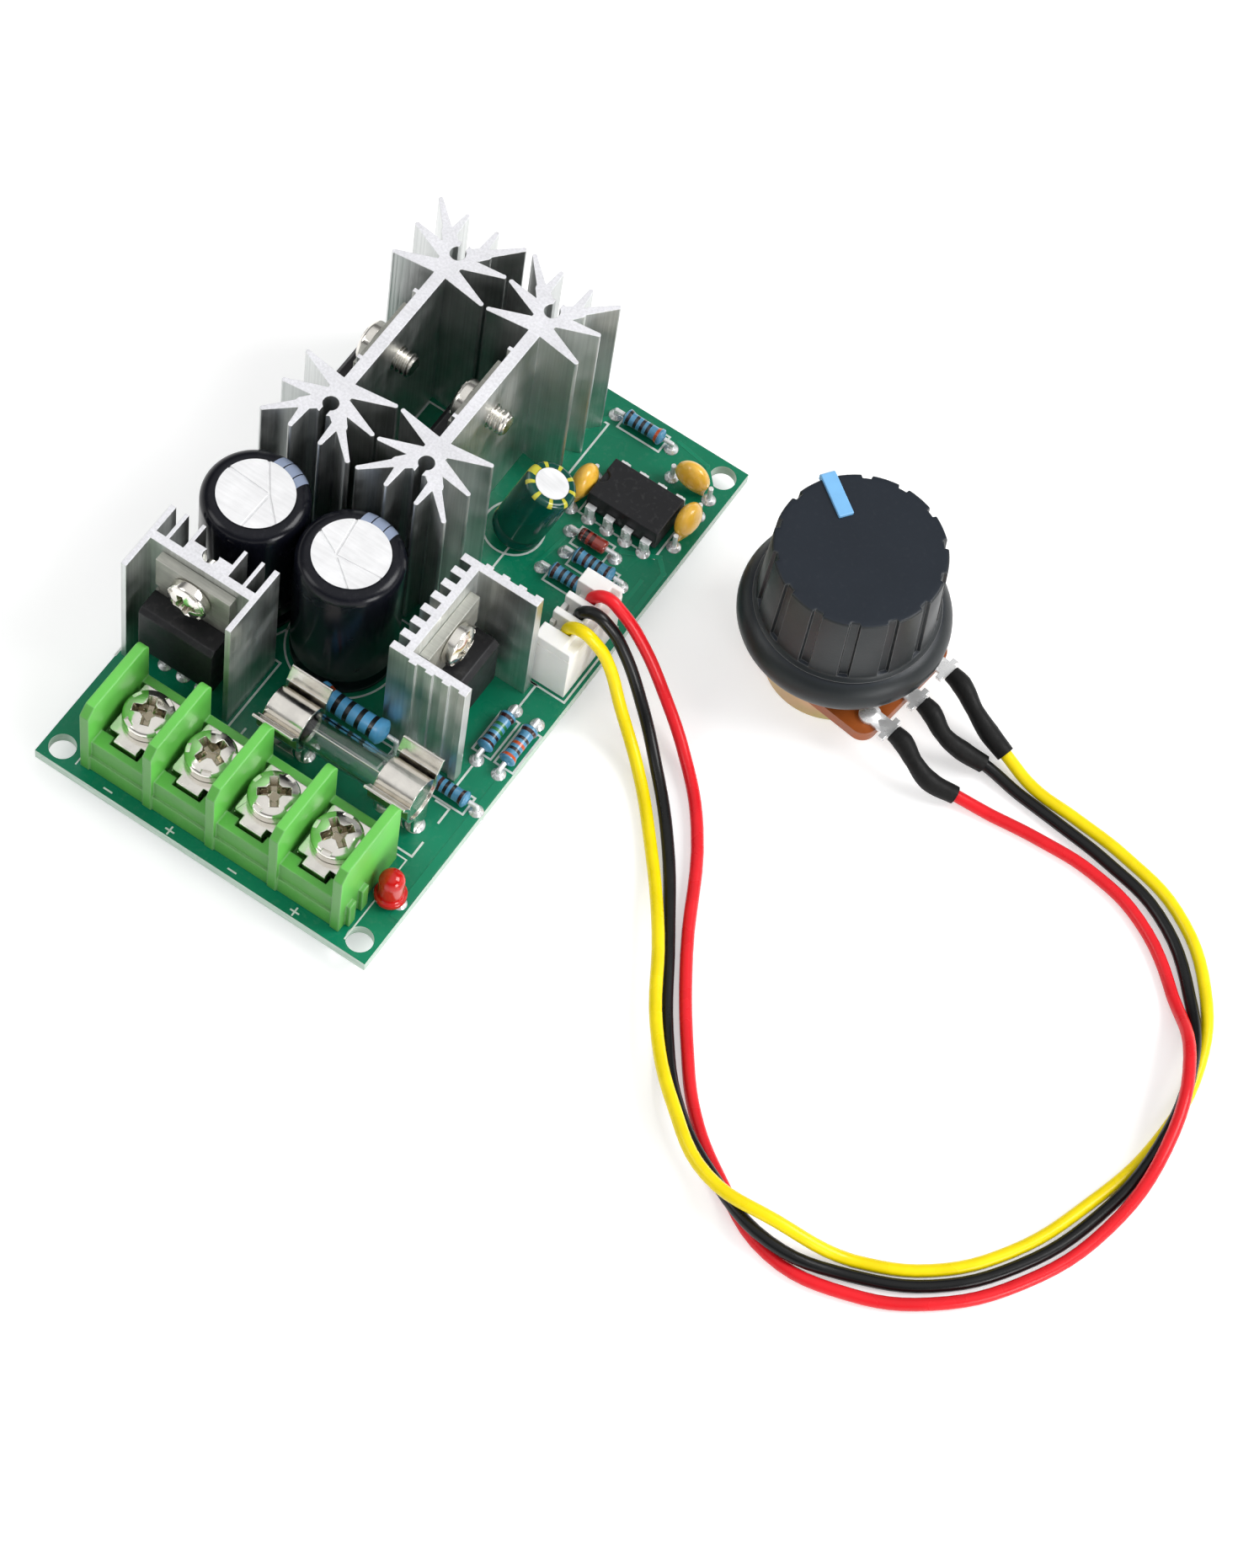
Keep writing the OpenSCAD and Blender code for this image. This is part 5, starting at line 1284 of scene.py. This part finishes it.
# The can ends' plate: tuck under the film, thickness, depth under the film's top, how deep the
# panels' feet are sunk in it, and the panels' chamfer
END_TUCK, END_THICK, END_DROP = 0.25 * MM, 0.3 * MM, 0.2 * MM
PANEL_FOOT, PANEL_CHAMFER = 0.1 * MM, 0.04 * MM
# Half width of the stripe and of its marks, step of the marks, and place and half width of the
# line beside them
STRIPE_HALF, STRIPE_MARK, STRIPE_STEP = 2.1 * MM, 1.3 * MM, 5.2 * MM
STRIPE_LINE, STRIPE_LINE_HALF = 0.85 * MM, 0.07 * MM
SMALL_CAN_RADIUS, SMALL_CAN_TALL = 3.15 * MM, 10.5 * MM
SMALL_CAN_FOOT = share(0.609, 0.708)
# The small capacitor leans by this many degrees about this level axis
SMALL_CAN_LEAN, SMALL_CAN_HINGE = 19, Vector((-3, 4, 0)) / 5
SMALL_CAN_TICKS = 9
# Disc capacitors: share of the board, turn, and the side down which the coat runs
CERAMIC_PLACES = [((0.682, 0.825), 90, -1), ((0.900, 0.927), 0, 1), ((0.962, 0.861), 90, -1)]
CERAMIC_HEIGHT = 2.6 * MM
CERAMIC_RADII = (2.25 * MM, 1.35 * MM, 2.45 * MM, 1)


class ControllerCapacitors(bpy.types.Operator):
    """Models the sleeves of the capacitors and the dipped discs"""

    bl_idname = "controller.capacitors"
    bl_label = "Capacitors"

    def execute(self, context):
        top = finish("Can end", colours().can_top)
        self.press_ends(top)
        dress(top, "small_capacitor_can")
        self.wrap_cans()
        self.wrap_small_can()
        self.dip_discs()
        return {"FINISHED"}

    def press_ends(self, metal):
        """Ends of the large cans: panels between score lines that meet beside the middle."""
        _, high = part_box("capacitor_sleeves")
        radius = CAN_RADIUS * FILM_HOLE + END_TUCK
        shape = bmesh.new()
        for centre, (shift, turns) in zip(CAN_CENTRES, CAN_SCORES):
            end = spun([(0, -END_THICK), (radius, -END_THICK), (radius, 0), (0, 0)])
            rays = sorted(math.radians(turn) % FULL_TURN for turn in turns)
            for start, stop in zip(rays, rays[1:] + [rays[0] + FULL_TURN]):
                self.raise_panel(end, mm(*shift, 0), start, stop, radius)
            place = Matrix.Translation((centre.x, centre.y, high.z - END_DROP))
            copy_into(shape, moved(end, place))
        piece_from("can_ends", shape, metal, replaced=["capacitor_cans"], sharp=12)

    def raise_panel(self, end, meeting, start, stop, radius):
        """One panel between two score lines, as a thin closed plate."""
        gap = sizes().score_width / 2
        half = (stop - start) / 2
        inward = Vector((math.cos(start + half), math.sin(start + half), 0))
        corners = [meeting + inward * gap / math.sin(half)]
        rims = []
        for turn, side in ((start, gap), (stop, -gap)):
            ray = Vector((math.cos(turn), math.sin(turn), 0))
            along = meeting.dot(ray)
            rim = meeting + ray * (math.sqrt(along**2 + radius**2 - meeting.length_squared) - along)
            rims.append(math.atan2(rim.y, rim.x) + side / radius)
        sweep = (rims[1] - rims[0]) % FULL_TURN
        steps = max(3, round(sweep * 16))
        for index in range(steps + 1):
            angle = rims[0] + sweep * index / steps
            corners.append(Vector((radius * math.cos(angle), radius * math.sin(angle), 0)))
        foot = Vector((0, 0, PANEL_FOOT))
        plate = end.faces.new([end.verts.new(corner - foot) for corner in corners])
        grown = bmesh.ops.extrude_face_region(end, geom=[plate], use_keep_orig=True)["geom"]
        raised = [part for part in grown if isinstance(part, bmesh.types.BMVert)]
        bmesh.ops.translate(end, verts=raised, vec=(0, 0, PANEL_FOOT + sizes().score_depth))
        brim = [part for part in grown if isinstance(part, bmesh.types.BMEdge)]
        bmesh.ops.bevel(
            end, geom=brim, offset=PANEL_CHAMFER, segments=1, affect="EDGES", clamp_overlap=True
        )

    def wrap_cans(self):
        """Shrunk film with a rounded shoulder, a waist near the foot and a pale stripe."""
        low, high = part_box("capacitor_sleeves")
        radius, tall, shoulder = CAN_RADIUS, high.z - low.z, sizes().can_shoulder
        foot, waist, rim, lip = 0.5 * MM, radius - 0.28 * MM, radius * FILM_HOLE, tall - 0.5 * MM
        profile = [(0, 0), (radius - foot, 0)]
        profile += arc((radius - foot, foot), foot, -90, 0, 5)
        profile += [(radius, 1.6 * MM), (waist, 2.1 * MM), (waist, 2.5 * MM)]
        profile += [(radius, 3.0 * MM), (radius, tall - shoulder)]
        profile += arc((radius - shoulder, tall - shoulder), shoulder, 0, 90, 9)[1:]
        profile += [(rim + 0.15 * MM, tall), (rim, tall - 0.08 * MM), (rim, lip), (0, lip)]
        for index, (centre, turn) in enumerate(zip(CAN_CENTRES, CAN_STRIPE_TURNS), 1):
            paint = self.stripe_painter(centre, turn, high.z - shoulder)
            film = finish("Can film %d" % index, paint, like="Can film")
            shape = moved(spun(profile), Matrix.Translation((centre.x, centre.y, low.z)))
            gone = ["capacitor_sleeves"] if index == 1 else ()
            piece_from("can_film_%d" % index, shape, film, replaced=gone)

    def stripe_painter(self, centre, turn, shoulder_z):
        """Paints a pale stripe with chevrons and a line down one side of a can."""

        def paint(tree):
            place = mapped(tree, object_point(tree), Location=(-centre.x, -centre.y, 0.0))
            turned = mapped(tree, place, Rotation=(0.0, 0.0, -math.radians(turn)))
            ahead, height = axis_part(tree, turned, "X"), axis_part(tree, turned, "Z")
            across = absolute(tree, axis_part(tree, turned, "Y"))
            facing_out = maths(tree, "GREATER_THAN", ahead, 0.0)
            stripe = times(tree, less(tree, across, STRIPE_HALF), facing_out)
            rise = maths(tree, "ADD", height, times(tree, across, 0.8))
            wave = maths(tree, "FRACT", times(tree, rise, 1 / STRIPE_STEP))
            chevron = less(tree, absolute(tree, maths(tree, "SUBTRACT", wave, 0.5)), 0.03)
            chevron = times(tree, chevron, less(tree, across, STRIPE_MARK))
            chevron = times(tree, chevron, less(tree, height, shoulder_z))
            aside = absolute(tree, maths(tree, "SUBTRACT", across, STRIPE_LINE))
            mark = maths(tree, "MAXIMUM", chevron, less(tree, aside, STRIPE_LINE_HALF))
            pale = mixed(tree, mark, colours().can_stripe, colours().can_sleeve)
            return mixed(tree, stripe, colours().can_sleeve, pale)

        return paint

    def wrap_small_can(self):
        """The small leaning capacitor's film, with a yellow stripe and rim ticks."""
        radius, tall = SMALL_CAN_RADIUS, SMALL_CAN_TALL
        foot, shoulder, rim, lip = 0.3 * MM, 0.6 * MM, radius * 0.68, tall - 0.25 * MM
        profile = [(0, 0), (radius - foot, 0)]
        profile += arc((radius - foot, foot), foot, -90, 0, 4)
        profile += [(radius, 1.2 * MM), (radius - 0.16 * MM, 1.5 * MM), (radius, 1.8 * MM)]
        profile += [(radius, tall - shoulder)]
        profile += arc((radius - shoulder, tall - shoulder), shoulder, 0, 90, 7)[1:]
        profile += [(rim, tall), (rim, lip), (0, lip)]
        lift = radius * math.sin(math.radians(SMALL_CAN_LEAN)) + 0.04 * MM
        lean = rotation(SMALL_CAN_LEAN, SMALL_CAN_HINGE)
        place = Matrix.Translation(SMALL_CAN_FOOT + Vector((0, 0, lift))) @ lean
        film = finish("Small can film", self.tick_painter(place))
        shape = moved(spun(profile, steps=72), place)
        gone = ["small_capacitor_sleeve"]
        piece_from("small_can_film", shape, film, replaced=gone)

    def tick_painter(self, place):
        """Paints ticks round the rim of the small can and a stripe down one side."""

        def paint(tree):
            shifted = mapped(tree, object_point(tree), Location=tuple(-place.to_translation()))
            turned = mapped(tree, shifted, Rotation=tuple(place.inverted().to_euler("XYZ")))
            across, ahead, height = (axis_part(tree, turned, axis) for axis in "XYZ")
            angle = maths(tree, "ARCTAN2", ahead, across)
            part = maths(tree, "FRACT", times(tree, angle, SMALL_CAN_TICKS / FULL_TURN))
            tick = less(tree, absolute(tree, maths(tree, "SUBTRACT", part, 0.5)), 0.13)
            ring = maths(tree, "GREATER_THAN", height, SMALL_CAN_TALL - 0.55 * MM)
            near = less(tree, absolute(tree, ahead), 0.7 * MM)
            stripe = times(tree, near, less(tree, across, 0.0))
            mark = maths(tree, "MAXIMUM", times(tree, tick, ring), stripe)
            return mixed(tree, mark, colours().small_sleeve, colours().small_mark)

        return paint

    def dip_discs(self):
        """Teardrop discs, whose dipped coat runs down one lead."""
        shape = bmesh.new()
        for (across, along), turn, slant in CERAMIC_PLACES:
            drop = bmesh.new()
            bmesh.ops.create_uvsphere(drop, u_segments=40, v_segments=24, radius=1.0)
            for vert in drop.verts:
                down = max(0.0, -vert.co.z)
                pinch = 1.0 - 0.62 * down**1.6
                vert.co.x = vert.co.x * pinch + slant * 0.75 * down**2
                vert.co.y *= pinch
            place = Matrix.Translation(share(across, along) + Vector((0, 0, CERAMIC_HEIGHT)))
            moved(drop, place @ rotation(turn) @ Matrix.Diagonal(CERAMIC_RADII))
            copy_into(shape, drop)
        coat = finish("Dipped coat", colours().ceramic)
        piece_from("dipped_discs", shape, coat, replaced=["ceramic_capacitors"])


# Small parts

DARK, BROWN = (0.01, 0.01, 0.012), (0.045, 0.012, 0.012)
ORANGE, GREEN = (0.60, 0.09, 0.02), (0.02, 0.20, 0.05)
# Where the small resistors' bands start along the body, their width, and each resistor's bands
SMALL_BANDS, SMALL_BAND_WIDTH = (0.10, 0.28, 0.43, 0.58, 0.80), 0.075
SMALL_BAND_SETS = [
    (DARK, DARK, DARK, DARK, ORANGE),
    (DARK, BROWN, DARK, DARK, BROWN),
    (BROWN, DARK, DARK, BROWN, BROWN),
    (DARK, BROWN, DARK, DARK, BROWN),
    (BROWN, DARK, GREEN, GREEN, BROWN),
    (ORANGE, DARK, ORANGE, DARK, BROWN),
]
POWER_BANDS, POWER_BAND_WIDTH = (0.155, 0.30, 0.45, 0.61, 0.775), 0.06
POWER_ORANGE, POWER_BLACK = (0.62, 0.09, 0.02), (0.012, 0.012, 0.014)
# Radius and length of the small resistors, the power resistor and the diode
SMALL_BODY, POWER_BODY, DIODE_BODY = (1.05 * MM, 5.6 * MM), (1.6 * MM, 10 * MM), (0.85 * MM, 3.6 * MM)
SMALL_BODY_HEIGHT = 1.07 * MM
LAMP_RADIUS, FLANGE_RADIUS = 1.5 * MM, 1.875 * MM


class ControllerSmallParts(bpy.types.Operator):
    """Models the resistors, diode and lamp"""

    bl_idname = "controller.small_parts"
    bl_label = "Small parts"

    def execute(self, context):
        self.wind_small_resistors()
        self.wind_power_resistor()
        self.blow_diode()
        self.cast_lamp()
        return {"FINISHED"}

    def dog_bone(self, radius, reach):
        """A lacquered body with a bead at each end, spun about its axis."""
        half, bead = reach / 2, reach * 0.17
        side = [
            (radius * 0.45, 0.02 * reach),
            (radius * 0.85, 0.05 * reach),
            (radius, bead * 0.45),
            (radius * 0.97, bead * 0.75),
            (radius * 0.80, bead * 1.25),
        ]
        profile = [(0, -half)] + [(wide, rise - half) for wide, rise in side]
        profile += [(wide, half - rise) for wide, rise in reversed(side)] + [(0, half)]
        fine = []
        for (wide, rise), (next_wide, next_rise) in zip(profile, profile[1:]):
            for part in (0, 1 / 3, 2 / 3):
                fine.append((wide + (next_wide - wide) * part, rise + (next_rise - rise) * part))
        shape = spun(fine + [profile[-1]], steps=40)
        mark_along(shape, reach)
        for _ in range(2):
            bmesh.ops.smooth_vert(shape, verts=shape.verts, factor=0.4, use_axis_x=True, use_axis_y=True)
        return shape

    def lay(self, shape, centre, turned=False):
        """Lays a spun body down along X, or along Y where turned."""
        along = rotation(90 if turned else 0) @ rotation(90, "Y")
        return moved(shape, Matrix.Translation(centre) @ along)

    def band_painter(self, ground, marks, width):
        """Paints coloured bands round a body, by its attribute of place along the axis."""

        def paint(tree):
            along = add(tree, "ShaderNodeAttribute", attribute_name="along").outputs["Fac"]
            stops = [(0.0, ground)]
            for position, shade in marks:
                stops += [(position, shade), (position + width, ground)]
            return bands(tree, along, stops)

        return paint

    def wind_small_resistors(self):
        for index, ((centre, turned), shades) in enumerate(zip(RESISTOR_PLACES, SMALL_BAND_SETS), 1):
            marks = list(zip(SMALL_BANDS, shades))
            paint = self.band_painter(colours().small_coat, marks, SMALL_BAND_WIDTH)
            lacquer = finish("Resistor lacquer %d" % index, paint, like="Resistor lacquer")
            lift = Vector((0, 0, SMALL_BODY_HEIGHT))
            shape = self.lay(self.dog_bone(*SMALL_BODY), centre + lift, turned)
            name, gone = "resistor_%d" % index, ["small_resistors"] if index == 1 else ()
            piece_from(name, shape, lacquer, replaced=gone, sharp=60)

    def wind_power_resistor(self):
        marks = list(zip(POWER_BANDS, [POWER_ORANGE] + [POWER_BLACK] * 4))
        paint = self.band_painter(colours().power_coat, marks, POWER_BAND_WIDTH)
        lacquer = finish("Power resistor lacquer", paint)
        shape = self.lay(self.dog_bone(*POWER_BODY), middle("power_resistor"))
        gone = ["power_resistor"]
        piece_from("power_resistor_body", shape, lacquer, replaced=gone, sharp=60)

    def blow_diode(self):
        """Glass bead with a dark band at one end and darker ends."""
        radius, reach = DIODE_BODY
        half, turn_in = reach / 2, radius * 0.4
        profile = [(0, -half), (radius * 0.6, -half)]
        profile += arc((radius * 0.6, -half + turn_in), turn_in, -90, 0, 5)[1:]
        profile += arc((radius * 0.6, half - turn_in), turn_in, 0, 90, 5)
        shape = spun(profile + [(0, half)], steps=40)
        long = [e for e in shape.edges if abs(e.verts[0].co.z - e.verts[1].co.z) > reach / 3]
        bmesh.ops.subdivide_edges(shape, edges=long, cuts=8)
        mark_along(shape, reach)
        red, black = tuple(colours().diode_glass), (0.01, 0.005, 0.005)
        dark = tuple(part * 0.25 for part in red)
        paint = self.band_painter(red, [(0.0, dark), (0.17, black), (0.42, dark)], 0.14)
        glass = finish("Diode glass", paint)
        shape = self.lay(shape, middle("diode"))
        piece_from("diode_bead", shape, glass, replaced=["diode"])

    def cast_lamp(self):
        """Red lens with a domed top and a flange."""
        low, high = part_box("lamp")
        centre, tall = (low + high) / 2, high.z - low.z
        radius, flange, chamfer = LAMP_RADIUS, FLANGE_RADIUS, 0.1 * MM
        profile = [(0, 0), (flange - chamfer, 0), (flange, chamfer), (flange, 0.65 * MM)]
        profile += [(flange - chamfer, 0.75 * MM), (radius + chamfer, 0.78 * MM), (radius, 0.9 * MM)]
        profile += [(radius * 0.99, tall - radius)]
        profile += arc((0, tall - radius), radius, 0, 90, 12)[1:]
        shape = moved(spun(profile, steps=64), Matrix.Translation((centre.x, centre.y, low.z)))
        lens = finish("Lamp lens", colours().lamp)
        piece_from("lamp_lens", shape, lens, replaced=["lamp"])


class ControllerConnector(bpy.types.Operator):
    """Finishes the white header, the plug and their contacts"""

    bl_idname = "controller.connector"
    bl_label = "Connector"

    def execute(self, context):
        dress(finish("Nylon", colours().nylon), "header", "plug")
        dress(nickel(), "header_pins", "plug_contacts")
        return {"FINISHED"}


# Rotary control and knob

CONTROL_AXIS = Vector((middle("knob").x, middle("knob").y, 0))
GROOVES = 14
POINTER_TURN = 144
# Shares of one groove's pitch at which the knob's body has its corners, and which of those
# corners stand on the groove's floor
GROOVE_STEPS = [0.0, 0.18, 0.30, 0.352, 0.385, 0.5, 0.615, 0.648, 0.70, 0.82]
GROOVE_FLOOR = (4, 5, 6)
# The grooves start this far up, and reach this far in over the rounded top
GROOVE_FOOT, GROOVE_TOP_REACH = 5.95 * MM, 0.4 * MM


class ControllerControl(bpy.types.Operator):
    """Finishes the rotary control under the knob"""

    bl_idname = "controller.rotary_control"
    bl_label = "Rotary control"

    def execute(self, context):
        gold = finish("Passivated steel", self.paint_passivation)
        dress(gold, "control_can", "control_front")
        dress(finish("Paper laminate", colours().wafer), "control_wafer")
        dress(finish("Silvered brass", (0.90, 0.90, 0.90)), "control_lugs", "control_wiper")
        dress(nickel(), "control_nut", "control_shaft")
        dress(finish("Carbon and rotor", (0.02, 0.02, 0.022)), "control_track", "control_rotor")
        return {"FINISHED"}

    def paint_passivation(self, tree):
        """Yellow plating whose tint drifts to green and rose."""
        red, green, blue = colours().gold
        stops = [
            (0.30, (red * 0.9, green * 1.15, blue * 1.1)),
            (0.50, (red, green, blue)),
            (0.72, (min(1.0, red * 1.25), green * 0.95, blue * 1.4)),
        ]
        return bands(tree, noise(tree, 130.0, 2.0), stops, "LINEAR")


class ControllerKnob(bpy.types.Operator):
    """Models the knob with its skirt and grooves, and finishes the pointer"""

    bl_idname = "controller.knob"
    bl_label = "Knob"

    def execute(self, context):
        self.turn_knob(finish("Knob moulding", self.paint_knob))
        dress(finish("Pointer insert", colours().pointer), "pointer")
        return {"FINISHED"}

    def turn_knob(self, plastic):
        """Spins the body with its hollow and skirt, then presses the grooves in from the side."""
        low, tall = KNOB_LOW.z, KNOB_HIGH.z - KNOB_LOW.z
        skirt = (KNOB_HIGH.x - KNOB_LOW.x) / 2
        grip, top = skirt - 2.0 * MM, skirt - 2.45 * MM
        bore, nut_room, hollow = 3.02 * MM, 4.05 * MM, 6.07 * MM
        bore_end, nut_end, step = tall - 1.5 * MM, 5.0 * MM, 0.9 * MM
        bulge, round_top = 2.7 * MM, 0.3 * MM
        profile = [(0, bore_end), (bore, bore_end), (bore, nut_end), (nut_room, nut_end)]
        profile += [(nut_room, step), (hollow, step), (hollow, 0)]
        profile += arc((skirt - bulge, bulge), bulge, -90, 72, 16)
        profile += [(grip + 0.5 * MM, 5.45 * MM), (grip + 0.12 * MM, 5.7 * MM), (grip, 5.9 * MM)]
        profile += [(grip, 6.0 * MM), (grip, 6.2 * MM)]
        profile += arc((top - round_top, tall - round_top), round_top, 0, 90, 4)
        profile += [(top - 0.9 * MM, tall), (0, tall)]
        shape = spun(profile, steps=len(GROOVE_STEPS) * GROOVES)
        for vert in shape.verts:
            radius = math.hypot(vert.co.x, vert.co.y)
            if radius < WELD:
                continue
            pitches = math.atan2(vert.co.y, vert.co.x) / FULL_TURN * GROOVES
            step = round(pitches % 1.0 * len(GROOVE_STEPS)) % len(GROOVE_STEPS)
            turn = (math.floor(pitches + 1e-6) + GROOVE_STEPS[step]) / GROOVES * FULL_TURN
            grooved = vert.co.z > GROOVE_FOOT and radius > top - GROOVE_TOP_REACH
            if step in GROOVE_FLOOR and grooved:
                radius -= sizes().groove_depth
            vert.co.x, vert.co.y = radius * math.cos(turn), radius * math.sin(turn)
        turn = math.radians(POINTER_TURN) - 0.5 * FULL_TURN / GROOVES
        place = Matrix.Translation(CONTROL_AXIS + Vector((0, 0, low)))
        moved(shape, place @ Matrix.Rotation(turn, 4, "Z"))
        piece_from("knob_body", shape, plastic, "knob", ["knob"], sharp=40)

    def paint_knob(self, tree):
        """A blue-black top and greyer sides."""
        up = spread(tree, normal_part(tree, "Z"), 0.8, 0.95)
        return mixed(tree, up, (0.011, 0.0145, 0.0165), colours().knob)


class ControllerPanel(bpy.types.Panel):
    """Lists the controller's settings and the operators that build it"""

    bl_idname = "VIEW3D_PT_controller"
    bl_label = "Motor speed controller"
    bl_space_type = "VIEW_3D"
    bl_region_type = "UI"
    bl_category = "Controller"

    def draw(self, context):
        layout = self.layout
        for group in (context.scene.controller_colours, context.scene.controller_sizes):
            box = layout.box()
            for name in group.__annotations__:
                box.prop(group, name)
        for operator in OPERATORS:
            layout.operator(operator.bl_idname)


OPERATORS = (
    ControllerStage,
    ControllerWires,
    ControllerBoard,
    ControllerTerminal,
    ControllerFuse,
    ControllerSinks,
    ControllerCapacitors,
    ControllerSmallParts,
    ControllerConnector,
    ControllerControl,
    ControllerKnob,
)
CLASSES = (ControllerColours, ControllerSizes, *OPERATORS, ControllerPanel)


def register():
    for made in CLASSES:
        bpy.utils.register_class(made)
    bpy.types.Scene.controller_colours = bpy.props.PointerProperty(type=ControllerColours)
    bpy.types.Scene.controller_sizes = bpy.props.PointerProperty(type=ControllerSizes)


def unregister():
    del bpy.types.Scene.controller_sizes
    del bpy.types.Scene.controller_colours
    for made in reversed(CLASSES):
        bpy.utils.unregister_class(made)


def main():
    register()
    bpy.ops.controller.stage()
    bpy.ops.controller.wires()
    bpy.ops.controller.board()
    bpy.ops.controller.terminal()
    bpy.ops.controller.fuse()
    bpy.ops.controller.sinks()
    bpy.ops.controller.capacitors()
    bpy.ops.controller.small_parts()
    bpy.ops.controller.connector()
    bpy.ops.controller.rotary_control()
    bpy.ops.controller.knob()


if __name__ == "__main__":
    main()
